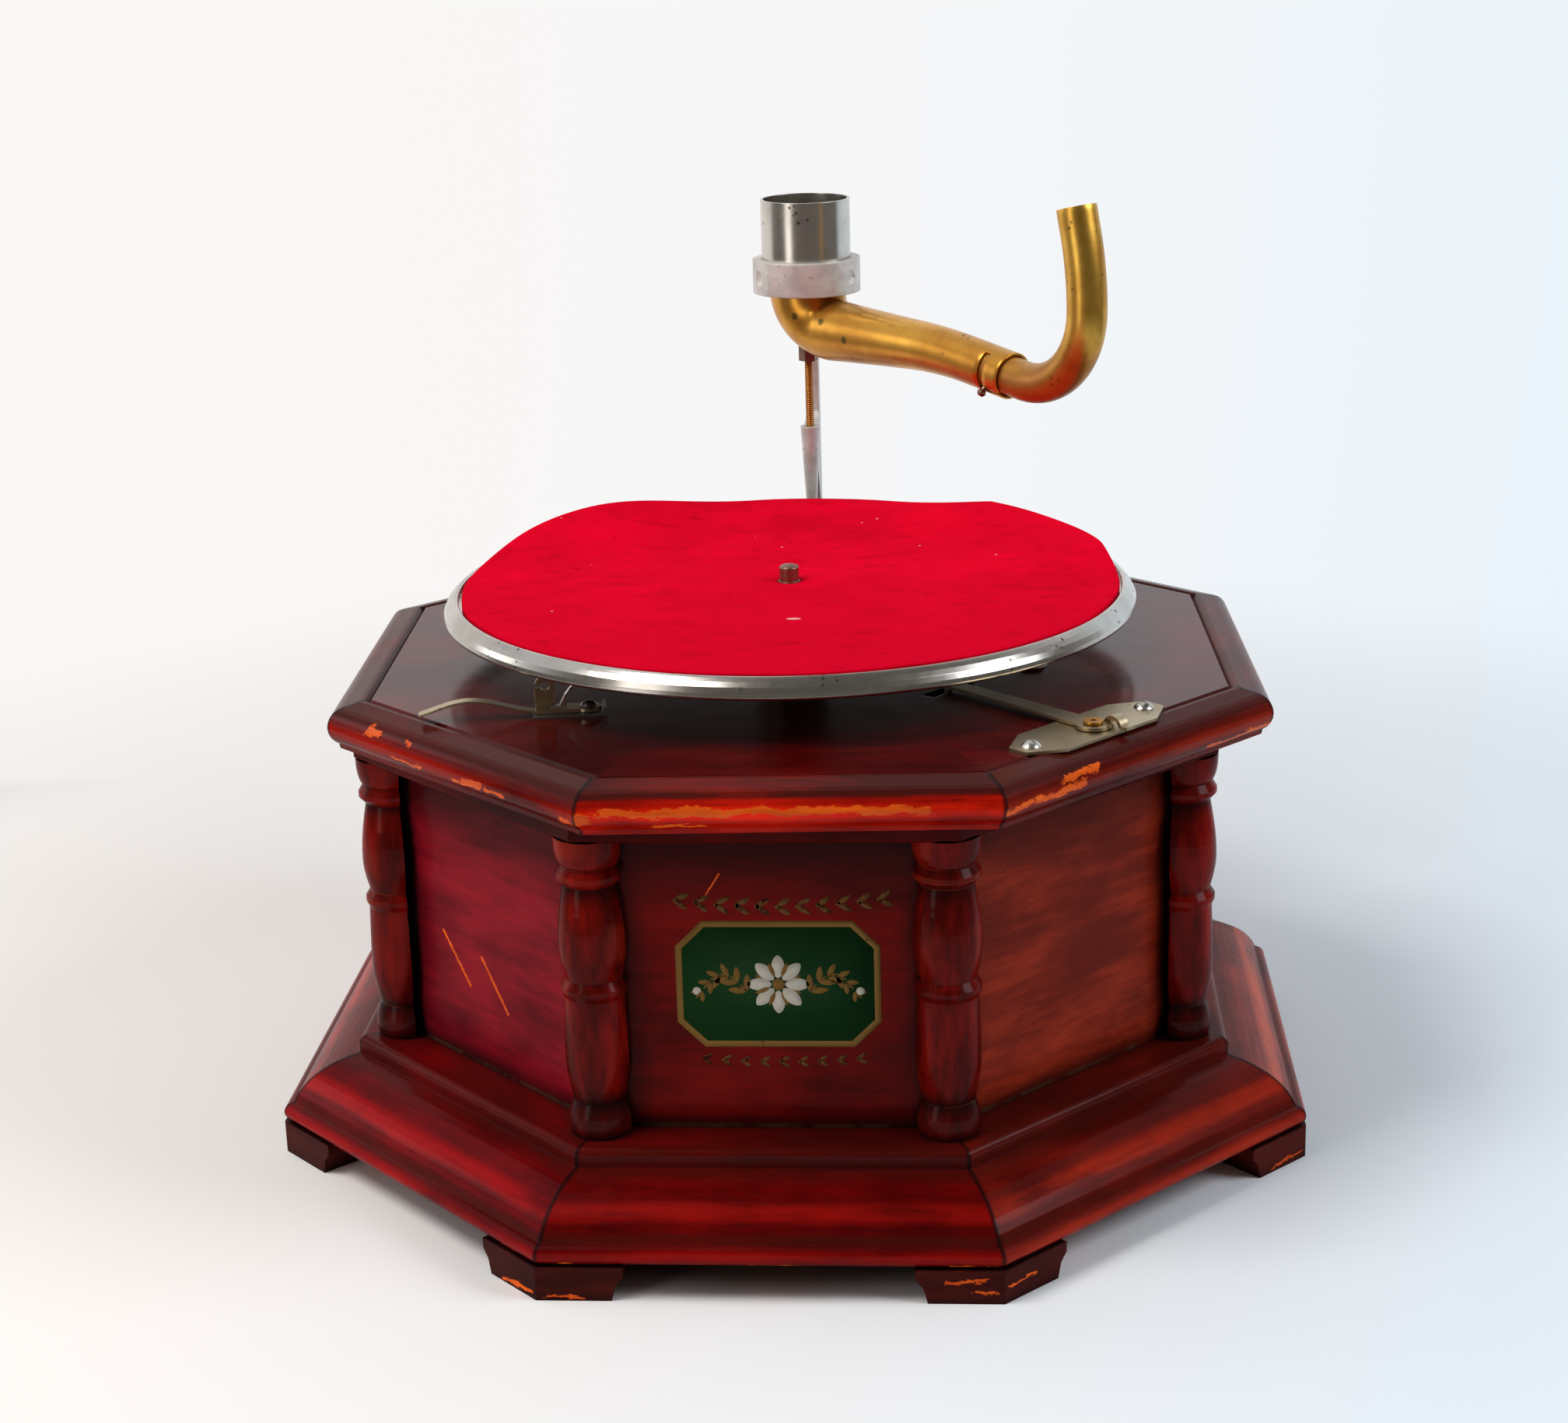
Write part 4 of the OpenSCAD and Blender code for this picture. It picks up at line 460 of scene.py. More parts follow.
def sand_casting(name):
    """Pale alloy, with the grit of the mould left in places and hammer marks away from its middle."""
    finish = Finish(name)
    grit = finish.noise(520, 4, 0.7)
    lumps = finish.noise(70, 3, 0.55)
    pits = finish.both(finish.step(grit, 0.42, 0.3), finish.step(lumps, 0.4, 0.55))
    colour = finish.mix(finish.step(lumps, 0.35, 0.7), CAST_DARK, CAST_PALE)
    colour = finish.cover(colour, CAST_PIT, pits, 0.7)
    sideways = finish.math("ABSOLUTE", finish.split(finish.place)[0])
    hammered = finish.both(finish.cells(150)["Distance"], finish.step(sideways, 10 * MM, 14 * MM))
    relief = finish.total((grit, 0.3), (hammered, 2.2), (lumps, 1.0))
    return finish.shade(Base_Color=colour, Metallic=0.35, Roughness=finish.scaled(grit, 0.2, 0.4),
                        Normal=finish.bump(relief, 0.5 * MM, 0.7, finish.rounded(0.8 * MM)))


def red_felt(name):
    """Pressed wool: crimson with darker rubbed and soiled patches, loose fibres and pale lint."""
    finish = Finish(name)
    nap = finish.noise(1500, 3, 0.75)
    mottle = finish.noise(26, 4, 0.6)
    streak = finish.noise(60, 4, 0.6, stretch=(1, 2.2, 1), seed=2.0)
    soil = finish.noise(85, 5, 0.7, seed=6.0)
    front = finish.step(finish.split(finish.place)[1], 0.1, -0.1)
    colour = finish.mix(finish.step(mottle, 0.38, 0.68), FELT_DEEP, FELT_BRIGHT)
    colour = finish.cover(colour, FELT_FRONT, front, 0.8)
    colour = finish.cover(colour, FELT_RUBBED, finish.step(streak, 0.52, 0.7), 0.4)
    colour = finish.cover(colour, FELT_NAP, finish.step(nap, 0.45, 0.65), 0.12)
    colour = finish.cover(colour, FELT_SOILED, finish.step(soil, 0.56, 0.7), 0.35)
    flecks = finish.cells(170)
    few = finish.step(finish.split(flecks["Color"])[0], 0.93, 0.95)
    from_fluff = finish.vector("SUBTRACT", finish.place, (*LINT_AT, 0))
    fluff = finish.vector("LENGTH", finish.vector("MULTIPLY", from_fluff, (0.5, 1, 0)))
    lint = finish.either(finish.both(finish.step(flecks["Distance"], 0.11, 0.06), few),
                         finish.step(fluff, 1.5 * MM, 1.0 * MM))
    colour = finish.cover(colour, LINT, lint, 0.75)
    relief = finish.total((nap, 1.0), (mottle, 1.5))
    return finish.shade(Base_Color=colour, Roughness=0.95, Normal=finish.bump(relief, 0.5 * MM, 0.55),
                        Specular_IOR_Level=0.02)


def painted_transfer(name, paint, wear):
    """Thin printed paint, rubbed through to the dark wood in places."""
    finish = Finish(name)
    rubbed = finish.noise(260, 5, 0.7)
    tone = finish.noise(60, 3, 0.5)
    darker = (*(0.4 * channel for channel in paint[:3]), 1)
    colour = finish.cover(paint, darker, tone, 0.5)
    colour = finish.cover(colour, BENEATH_PRINT, finish.step(rubbed, 0.68 - wear, 0.74 - wear))
    return finish.shade(Base_Color=colour, Roughness=finish.scaled(tone, 0.2, 0.45),
                        Normal=finish.bump(rubbed, 0.1 * MM, 0.3), Specular_IOR_Level=0.1)


# MAKING PIECES

def piece(name, mesh, material, body, stands_for=(), smooth=math.radians(35)):
    """Turns a bmesh into an object that rides on a body."""
    bmesh.ops.recalc_face_normals(mesh, faces=mesh.faces[:])
    data = bpy.data.meshes.new(name)
    mesh.to_mesh(data)
    mesh.free()
    made = bpy.data.objects.new(name, data)
    bpy.context.scene.collection.objects.link(made)
    data.materials.append(material)
    data.shade_smooth()
    data.set_sharp_from_angle(angle=smooth)
    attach(made, body)
    if stands_for:
        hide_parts(*stands_for)
    return made


def grown_from(mesh, edges):
    """Extrudes edges in place, and gives the new vertices and edges."""
    grown = bmesh.ops.extrude_edge_only(mesh, edges=edges)["geom"]
    verts = [item for item in grown if isinstance(item, bmesh.types.BMVert)]
    return verts, [item for item in grown if isinstance(item, bmesh.types.BMEdge)]


def swept_tube(stations, segments):
    """An open tube: a ring drawn at the first station and extruded from station to station.
    A station is a matrix that takes the unit circle to its ring."""
    mesh = bmesh.new()
    bmesh.ops.create_circle(mesh, segments=segments, radius=1.0, matrix=stations[0])
    edges = mesh.edges[:]
    for before, after in zip(stations, stations[1:]):
        verts, edges = grown_from(mesh, edges)
        bmesh.ops.transform(mesh, matrix=after @ before.inverted(), verts=verts)
    return mesh


def thicken(made, thickness, edge, segments, sharp):
    """Gives a sheet its thickness, inwards, and softens its edges."""
    wall = made.modifiers.new("wall", "SOLIDIFY")
    wall.thickness, wall.offset = thickness, -1.0
    soft = made.modifiers.new("soft_edges", "BEVEL")
    soft.width, soft.segments = edge, segments
    soft.limit_method, soft.angle_limit = "ANGLE", sharp


# STAGE

FLOOR_FRONT, FLOOR_DEPTH, FLOOR_HALF = -4.0, 1.5, 4.0
BACKDROP_BEND, BACKDROP_HEIGHT = 1.1, 2.6
PAPER_LEFT, PAPER_MIDDLE = (0.97, 0.935, 0.91, 1), (0.92, 0.925, 0.935, 1)
PAPER_RIGHT, PAPER_SMUDGE = (0.81, 0.895, 0.97, 1), (0.78, 0.8, 0.83, 1)
DIM_PAPER, DIM_GLOW = (0.17, 0.16, 0.145, 1), (0.14, 0.13, 0.117, 1)
# The colour of the shadow painted on the paper beneath the object
SHADED_PAPER = (0.16, 0.13, 0.11, 1)
# Distances in metres between which the paper turns pale, painted with the shadow beneath the object, or
# glowing
PALE_ROUND, PALE_BEHIND, GLOW_ROUND = (0.85, 0.48), (0.24, 0.36), (0.36, 0.8)
SHADED_ROUND, SHADED_HALF = (0.19, 0.165), (0.1, 0.07)
# The world from behind the camera to behind the object
WORLD_STOPS = [(0.0, (0.16, 0.148, 0.13, 1)), (0.5, (0.17, 0.16, 0.145, 1)), (0.68, (0.86, 0.87, 0.9, 1))]
WORLD_LEAN, WORLD_STRENGTH = -0.3, 0.8
LAMP_AIM = Vector((0, 0, 0.14))
# Lamps: name, place, size, power in watts and colour
LAMPS = [("top_softbox", (-0.85, -0.45, 1.65), (0.7, 0.7), 17.2, (1.0, 0.97, 0.94)),
         ("key_strip", (-1.1, -1.1, 0.35), (0.45, 1.5), 5.5, (1.0, 0.96, 0.92)),
         ("cool_fill", (1.5, -0.35, 1.25), (0.9, 0.9), 17.2, (0.9, 0.95, 1.0)),
         ("side_card", (-1.4, 0.35, 0.6), (0.45, 0.5), 1.35, (1.0, 0.97, 0.94))]


def stage_sweep():
    """A wide floor that curves up into an even backdrop behind the object."""
    mesh = bmesh.new()
    line = [(FLOOR_FRONT, 0), (FLOOR_DEPTH, 0)]
    for angle in range(9, 91, 9):
        a = math.radians(angle)
        line.append((FLOOR_DEPTH + BACKDROP_BEND * math.sin(a), BACKDROP_BEND * (1 - math.cos(a))))
    line.append((FLOOR_DEPTH + BACKDROP_BEND, BACKDROP_HEIGHT))
    verts = [mesh.verts.new((-FLOOR_HALF, y, z)) for y, z in line]
    edges = [mesh.edges.new(pair) for pair in zip(verts, verts[1:])]
    far, _ = grown_from(mesh, edges)
    bmesh.ops.translate(mesh, vec=(2 * FLOOR_HALF, 0, 0), verts=far)
    data = bpy.data.meshes.new("studio_floor")
    mesh.to_mesh(data)
    mesh.free()
    data.shade_smooth()
    floor = bpy.data.objects.new("studio_floor", data)
    bpy.context.scene.collection.objects.link(floor)
    data.materials.append(studio_paper())


def studio_paper():
    """Paper that takes the object's shadow near it, has a shadow painted beneath the object and is evenly
    pale further back. Away from the object to the front and the sides it is dimmer, which gives the polished
    metal its dark flanks."""
    finish = Finish("studio_paper")
    x, y, _ = finish.split(finish.place)
    away = finish.vector("LENGTH", finish.place)
    spread = finish.math("DIVIDE", x, finish.math("ADD", y, 1.0))
    tint = finish.ramp(finish.scaled(spread, 1.7, 0.5), [
        (0.0, PAPER_LEFT), (0.5, PAPER_MIDDLE), (1.0, PAPER_RIGHT)])
    pale = finish.either(finish.step(away, *PALE_ROUND), finish.step(y, *PALE_BEHIND))
    sideways = finish.math("ABSOLUTE", x)
    painted_shadow = finish.both(finish.step(away, *SHADED_ROUND), finish.step(sideways, *SHADED_HALF))
    paper = finish.cover(tint, PAPER_SMUDGE, finish.noise(2.2), 0.06)
    # Painted shadow: the paper is darkened beneath the object
    paper = finish.mix(painted_shadow, paper, SHADED_PAPER)
    lit = finish.node("BsdfDiffuse")
    finish.feed(lit.inputs["Color"], finish.mix(pale, DIM_PAPER, paper))
    glow = finish.node("Emission")
    finish.feed(glow.inputs["Color"], finish.mix(pale, DIM_GLOW, tint))
    path = finish.node("LightPath").outputs
    seen = finish.either(path["Is Camera Ray"], path["Is Glossy Ray"], path["Is Transmission Ray"])
    far = finish.both(finish.step(away, *GLOW_ROUND), seen)
    blend = finish.node("MixShader")
    for socket, value in zip(blend.inputs, (far, lit.outputs[0], glow.outputs[0])):
        finish.feed(socket, value)
    return finish.end(blend)


def studio_world():
    """A world that is pale behind the object and to its left, and dim behind the camera."""
    sky = Finish("studio", world=True)
    x, y, _ = sky.split(sky.place)
    light = sky.node("Background")
    sky.feed(light.inputs["Color"], sky.ramp(sky.scaled(sky.scaled(x, WORLD_LEAN, y), 0.5, 0.5), WORLD_STOPS))
    sky.feed(light.inputs["Strength"], WORLD_STRENGTH)
    bpy.context.scene.world = sky.end(light)


def studio_lamps():
    for name, spot, (width, height), power, colour in LAMPS:
        data = bpy.data.lights.new(name, "AREA")
        data.shape, data.size, data.size_y = "RECTANGLE", width, height
        data.energy, data.color = power, colour
        lamp = bpy.data.objects.new(name, data)
        lamp.location = spot
        lamp.rotation_euler = (LAMP_AIM - Vector(spot)).to_track_quat("-Z", "Y").to_euler()
        bpy.context.scene.collection.objects.link(lamp)


def place_camera():
    data = bpy.data.cameras.new("camera")
    data.sensor_fit, data.sensor_width = "HORIZONTAL", SENSOR
    data.lens = FOCAL_PIXELS / IMAGE_WIDTH * SENSOR
    camera = bpy.data.objects.new("camera", data)
    bpy.context.scene.collection.objects.link(camera)
    level = Vector((math.cos(CAMERA_AZIMUTH), math.sin(CAMERA_AZIMUTH), 0))
    flat = Vector((math.sin(CAMERA_AZIMUTH), -math.cos(CAMERA_AZIMUTH), 0))
    back = flat * math.cos(CAMERA_ELEVATION) + Vector((0, 0, math.sin(CAMERA_ELEVATION)))
    upright = back.cross(level)
    right = math.cos(CAMERA_ROLL) * level + math.sin(CAMERA_ROLL) * upright
    above = math.cos(CAMERA_ROLL) * upright - math.sin(CAMERA_ROLL) * level
    spot = level * AIM_SIDEWAYS + Vector((0, 0, AIM_HEIGHT)) + back * CAMERA_DISTANCE
    turn = Matrix((right, above, back)).transposed().to_4x4()
    camera.matrix_world = Matrix.Translation(spot) @ turn
    bpy.context.scene.camera = camera


# TONEARM AND GOOSENECK, in mm

ARM_TURN = math.radians(-48)
ARM_DROOP = math.radians(8)
ARM_LENGTH, ELBOW_BEND, DROOP_FROM = 102.0, 18.0, 0.6
ARM_TOP_R, ELBOW_R, SLEEVE_R, SPIGOT_R, NECK_R = 15.5, 12.4, 9.0, 8.05, 7.5
SLEEVE_LENGTH, NECK_STRAIGHT, NECK_BEND, NECK_LEAN_R = 22.0, 6.0, 30.0, 117.0
NECK_LEAN = math.radians(14)
NECK_END, NECK_STEP, SHOULDER_IN, SHOULDER_LENGTH = 9.5, 1.5, 1.5, 0.3
SPIGOT_FROM, SPIGOT_STEP = 4, 2
TUBE_WALL, TUBE_EDGE, TUBE_SEGMENTS = 0.9, 0.2, 96
STUD_R, STUD_INSET, SLOT_HALF, SLOT_TURN = 1.2, 9.0, 1.5, math.radians(95)
# Place of the stud round the sleeve, from its underside towards the near side
STUD_AT = math.radians(-40)
THREAD_PITCH, THREAD_DEPTH, RINGS_PER_TURN = 0.9, 0.4, 8
THREAD_SEGMENTS, STUD_SEGMENTS = 24, 32
ARM_IN_BUSH = 8.5
ARM_RUN = ARM_LENGTH - ELBOW_BEND
ARM_HEIGHT = arm_top / MM - ARM_IN_BUSH - ELBOW_BEND
DROOP_FALL = ARM_RUN * (1 - DROOP_FROM) * math.tan(ARM_DROOP / 2)
# Rings along each stretch
BUSH_RINGS, ELBOW_RINGS, ARM_RINGS = 4, 24, 40
SPIGOT_RINGS, NECK_RINGS, BEND_RINGS, LEAN_RINGS, END_RINGS = 9, 5, 40, 18, 5


def arm_station(distance, height, slope, radius):
    """The matrix of a ring on the arm: distance from the pivot, height, slope and radius."""
    turn = Matrix.Rotation(ARM_TURN, 4, "Z") @ Matrix.Rotation(math.pi / 2 - slope, 4, "Y")
    spot = pivot + Vector((math.cos(ARM_TURN), math.sin(ARM_TURN), 0)) * distance * MM
    return Matrix.Translation(spot + Vector((0, 0, height * MM))) @ turn @ Matrix.Scale(radius * MM, 4)


def sleeve_station(along, radius):
    """A ring on the sleeve's straight line, at a distance from the sleeve's start."""
    return arm_station(ARM_LENGTH + along * math.cos(ARM_DROOP),
                       ARM_HEIGHT - DROOP_FALL - along * math.sin(ARM_DROOP), -ARM_DROOP, radius)


def tonearm_stations():
    stations = []
    for i in range(BUSH_RINGS):
        height = ARM_HEIGHT + ELBOW_BEND + ARM_IN_BUSH * (1 - i / BUSH_RINGS)
        stations.append(arm_station(0, height, -math.pi / 2, ARM_TOP_R))
    for i in range(ELBOW_RINGS + 1):
        a = math.pi / 2 * i / ELBOW_RINGS
        radius = ARM_TOP_R + (ELBOW_R - ARM_TOP_R) * math.sin(a) ** 3
        stations.append(arm_station(ELBOW_BEND * (1 - math.cos(a)),
                                    ARM_HEIGHT + ELBOW_BEND * (1 - math.sin(a)), a - math.pi / 2, radius))
    for i in range(1, ARM_RINGS + 1):
        t = i / ARM_RINGS
        droop = max(0.0, (t - DROOP_FROM) / (1 - DROOP_FROM))
        radius = SLEEVE_R + (ELBOW_R - SLEEVE_R) * (1 - t) ** 1.6
        stations.append(arm_station(ELBOW_BEND + ARM_RUN * t, ARM_HEIGHT - DROOP_FALL * droop ** 2,
                                    -ARM_DROOP * droop, radius))
    slot = SLEEVE_LENGTH - STUD_INSET
    stops = [3, 6, 9, slot - SLOT_HALF, slot, slot + SLOT_HALF, 17, 19, 20.5, SLEEVE_LENGTH]
    return stations + [sleeve_station(along, SLEEVE_R) for along in stops]


def cut_bayonet_slot(mesh):
    """Opens the slot of the bayonet: from the sleeve's end inwards, and then round its near side."""
    to_sleeve = Matrix.Rotation(-STUD_AT, 4, "Z") @ sleeve_station(0, 1.0).inverted()
    middle = SLEEVE_LENGTH - STUD_INSET
    half_turn = SLOT_HALF / SLEEVE_R
    lost = []
    for face in mesh.faces:
        spot = to_sleeve @ face.calc_center_median()
        angle = math.atan2(spot.y, spot.x)
        on_sleeve = spot.z > 0 and spot.xy.length < SLEEVE_R * 1.1
        inwards = abs(angle) < half_turn and spot.z > middle
        across = -SLOT_TURN - half_turn < angle < half_turn and abs(spot.z - middle) < SLOT_HALF
        if on_sleeve and (inwards or across):
            lost.append(face)
    bmesh.ops.delete(mesh, geom=lost, context="FACES")


def gooseneck_stations():
    stations = [sleeve_station(SPIGOT_FROM + SPIGOT_STEP * i, SPIGOT_R) for i in range(SPIGOT_RINGS)]
    shoulder = SLEEVE_LENGTH - SHOULDER_IN
    stations += [sleeve_station(shoulder, SPIGOT_R), sleeve_station(shoulder + SHOULDER_LENGTH, NECK_R)]
    stations += [sleeve_station(shoulder + NECK_STEP * (i + 1), NECK_R) for i in range(NECK_RINGS)]
    straight = SLEEVE_LENGTH + NECK_STRAIGHT
    start = (ARM_LENGTH + straight * math.cos(ARM_DROOP),
             ARM_HEIGHT - DROOP_FALL - straight * math.sin(ARM_DROOP))
    for i in range(1, BEND_RINGS + 1):
        a = -ARM_DROOP + (math.pi / 2 + ARM_DROOP) * i / BEND_RINGS
        stations.append(arm_station(start[0] + NECK_BEND * (math.sin(a) + math.sin(ARM_DROOP)),
                                    start[1] + NECK_BEND * (math.cos(ARM_DROOP) - math.cos(a)), a, NECK_R))
    top = (start[0] + NECK_BEND * (1 + math.sin(ARM_DROOP)), start[1] + NECK_BEND * math.cos(ARM_DROOP))
    for i in range(1, LEAN_RINGS + 1):
        a = NECK_LEAN * i / LEAN_RINGS
        stations.append(arm_station(top[0] - NECK_LEAN_R * (1 - math.cos(a)),
                                    top[1] + NECK_LEAN_R * math.sin(a), math.pi / 2 + a, NECK_R))
    end = (top[0] - NECK_LEAN_R * (1 - math.cos(NECK_LEAN)), top[1] + NECK_LEAN_R * math.sin(NECK_LEAN))
    for i in range(1, END_RINGS + 1):
        along = NECK_END * i / END_RINGS
        stations.append(arm_station(end[0] - along * math.sin(NECK_LEAN),
                                    end[1] + along * math.cos(NECK_LEAN), math.pi / 2 + NECK_LEAN, NECK_R))
    return stations


def bayonet_stud():
    """The turned stud of the gooseneck that runs in the sleeve's slot."""
    head_r = STUD_R + 0.6
    profile = [(0, 7.0), (STUD_R, 7.0), (STUD_R, 9.4), (head_r, 10.2), (head_r, 10.7), (STUD_R, 11.6),
               (STUD_R * 0.7, 11.8), (0, 11.8)]
    mesh = bmesh.new()
    verts = [mesh.verts.new((out, 0, up)) for out, up in profile]
    edges = [mesh.edges.new(pair) for pair in zip(verts, verts[1:])]
    bmesh.ops.spin(mesh, geom=verts + edges, axis=(0, 0, 1), cent=(0, 0, 0), angle=2 * math.pi,
                   steps=STUD_SEGMENTS, use_merge=True)
    bmesh.ops.remove_doubles(mesh, verts=mesh.verts, dist=0.001)
    outwards = Matrix.Rotation(STUD_AT, 4, "Z") @ Matrix.Rotation(math.pi / 2, 4, "Y")
    place = sleeve_station(SLEEVE_LENGTH - STUD_INSET, 1.0)
    bmesh.ops.transform(mesh, matrix=place @ outwards, verts=mesh.verts)
    return mesh


def threaded_rod(low, high, radius, pitch, depth):
    """The pivot screw: a rod whose skin follows a helix."""
    rings = round((high - low) / pitch * RINGS_PER_TURN)
    levels = [low + (high - low) * i / rings for i in range(rings + 1)]
    mesh = swept_tube([Matrix.Translation(pivot + Vector((0, 0, level))) @ Matrix.Scale(radius, 4)
                       for level in levels], THREAD_SEGMENTS)
    for vert in mesh.verts:
        spot = vert.co - pivot
        phase = (spot.z / pitch - math.atan2(spot.y, spot.x) / (2 * math.pi)) % 1
        spot.xy *= 1 - depth / radius * abs(2 * phase - 1)
        vert.co = pivot + spot
    bmesh.ops.holes_fill(mesh, edges=[edge for edge in mesh.edges if edge.is_boundary])
    return mesh


# FELT

FELT_THICK = 2.6 * MM
FELT_EDGE = 0.7 * MM
FELT_HOLE_R = 4.3 * MM
FELT_SEGMENTS = 160
# Rings of the mat, as shares of the way from its hole to its edge
FELT_RINGS = (0.02, 0.15, 0.3, 0.45, 0.58, 0.68, 0.76, 0.83, 0.89, 0.94, 0.975, 1)
# Where the edge has come unstuck: height in mm, and in degrees its middle and its reach to each side
FELT_CURLS = [(3.4, 92, 80, 80), (7.6, 136, 36, 44)]
# The right end of the lifted edge, which rises steeply and then runs level
FELT_SHOULDER, SHOULDER_STEEPNESS = (5.6, 34, 40, 40), 1.7
STUCK_SHARE = 0.62
# The cut edge is a little ragged: from this share outwards, by this share
RAGGED_FROM, RAGGED = 0.95, 0.004


def hump(angle, middle, before, after):
    """1 at the middle of a stretch of edge, falling to 0 at its two ends."""
    share = (angle - middle) / (after if angle > middle else before)
    return math.cos(math.pi / 2 * share) ** 2 if abs(share) < 1 else 0.0


def felt_lift(spot):
    """How far the mat stands off its platter: the rear edge has come unstuck and curls."""
    angle = math.degrees(math.atan2(spot.y, spot.x))
    edge = sum(height * hump(angle, *reach) for height, *reach in FELT_CURLS)
    height, *reach = FELT_SHOULDER
    edge += height * min(1.0, SHOULDER_STEEPNESS * hump(angle, *reach))
    out = max(0.0, (spot.xy.length / felt_r - STUCK_SHARE) / (1 - STUCK_SHARE))
    return edge * MM * out * out * (2 - out)


def felt_disc():
    """The mat: a ring of edges round the spindle's hole, extruded outwards ring by ring."""
    mesh = bmesh.new()
    bmesh.ops.create_circle(mesh, segments=FELT_SEGMENTS, radius=FELT_HOLE_R,
                            matrix=Matrix.Translation((0, 0, felt_low + FELT_THICK)))
    edges, before = mesh.edges[:], FELT_HOLE_R
    for share in FELT_RINGS:
        radius = FELT_HOLE_R + (felt_r - FELT_HOLE_R) * share
        verts, edges = grown_from(mesh, edges)
        bmesh.ops.scale(mesh, vec=(radius / before, radius / before, 1), verts=verts)
        before = radius
    for vert in mesh.verts:
        vert.co.z += felt_lift(vert.co)
        angle = math.atan2(vert.co.y, vert.co.x)
        if vert.co.xy.length > RAGGED_FROM * felt_r:
            vert.co.xy *= 1 - RAGGED * (1 + math.sin(9 * angle) * math.sin(5 * angle + 1))
    made = piece("felt_disc", mesh, red_felt("crimson_felt"), "turntable", ["felt_mat"],
                 math.radians(60))
    thicken(made, FELT_THICK, FELT_EDGE, 3, math.radians(30))


# TRANSFER ON THE FRONT PANEL, in mm from its middle

TRANSFER_AT = Vector((2.5 * MM, -panel_d, 93 * MM))
TRANSFER_SIZE, TRANSFER_CORNER = (68.0, 45.0), 9.0
EDGE_WIDTH, LINE_INSET, LINE_WIDTH, FILM = 2.2, 3.4, 0.5, 0.04
SPRAY_FROM, SPRAY_REACH, SPRAY_RISE, SPRAY_LOW, SPRAY_LEAVES = 10.5, 15, 5.5, -2.5, 6
BUD_AT, BUD_SIZE, EYE_SIZE = (27.2, -2.4), 2.8, 4.0
PETALS, LEAF_SEGMENTS = 8, 20
# Lifts of the layers above the panel
GROUND, EDGE, LINE, LEAVES, BUDS, EYE = 0.05, 0.06, 0.08, 0.1, 0.12, 0.14


def on_the_front(x, y, lift, turn=0.0):
    """The matrix of a place on the front panel."""
    face = Matrix.Translation(TRANSFER_AT) @ Matrix.Rotation(math.pi / 2, 4, "X") @ Matrix.Scale(MM, 4)
    return face @ Matrix.Translation((x, y, lift)) @ Matrix.Rotation(turn, 4, "Z")


def plaque(inset, width, lift):
    """An elongated octagon, inset from the transfer's edge. With a width it is only a border."""
    mesh = bmesh.new()
    quad = bmesh.ops.create_grid(mesh, x_segments=1, y_segments=1, size=1.0)["verts"]
    half = [size / 2 - inset for size in TRANSFER_SIZE]
    bmesh.ops.scale(mesh, vec=(*half, 1), verts=quad)
    bmesh.ops.bevel(mesh, geom=quad, offset=TRANSFER_CORNER - 0.6 * inset, affect="VERTICES", segments=1,
                    profile=0.5, material=-1)
    if width:
        faces = mesh.faces[:]
        bmesh.ops.inset_region(mesh, faces=faces, thickness=width, use_boundary=True, use_even_offset=True)
        bmesh.ops.delete(mesh, geom=faces, context="FACES")
    bmesh.ops.transform(mesh, matrix=on_the_front(0, 0, lift), verts=mesh.verts)
    return mesh


def leaf(mesh, matrix, length, width, point):
    """A flat leaf along X from the origin. Point draws its ends out from an ellipse to a lance."""
    made = bmesh.ops.create_circle(mesh, cap_ends=True, segments=LEAF_SEGMENTS, radius=1.0)["verts"]
    for vert in made:
        vert.co.y *= abs(vert.co.y) ** point
        vert.co.x += 1
    bmesh.ops.transform(mesh, matrix=matrix @ Matrix.Diagonal((length / 2, width / 2, 1, 1)), verts=made)


def rosette(mesh, count, start, length, width, lift, turn):
    for k in range(count):
        place = on_the_front(0, 0, lift, turn + 2 * math.pi * k / count)
        leaf(mesh, place @ Matrix.Translation((start, 0, 0)), length, width, 0.35)


def spray(mesh, side, lift):
    """A stem of paired leaves that swings out from the rosette to one side."""
    for i in range(SPRAY_LEAVES):
        t = i / (SPRAY_LEAVES - 1)
        x = side * (SPRAY_FROM + SPRAY_REACH * t)
        y = SPRAY_RISE * math.sin(math.pi * t) + SPRAY_LOW
        heading = math.atan2(SPRAY_RISE * math.pi * math.cos(math.pi * t), SPRAY_REACH * side)
        for lean in (-0.75, 0.75):
            leaf(mesh, on_the_front(x, y, lift, heading + lean), 6.2 - 2.4 * t, 2.3 - 0.6 * t, 0.5)
        leaf(mesh, on_the_front(x, y, lift, heading), 3.4, 0.7, 0.2)


def garland(mesh, width, level, sag, count, length, lift):
    """A hanging row of small leaves with berries between them."""
    for i in range(count):
        t = 2 * (i + 0.5) / count - 1
        x, y = t * width / 2, level + sag * t * t
        slope = math.atan2(4 * sag * t, width)
        for lean in (-0.55, 0.55):
            leaf(mesh, on_the_front(x, y, lift, slope + lean), length, length * 0.36, 0.5)
        leaf(mesh, on_the_front(x - 0.5, y, lift, slope), length * 0.3, length * 0.3, 0.0)


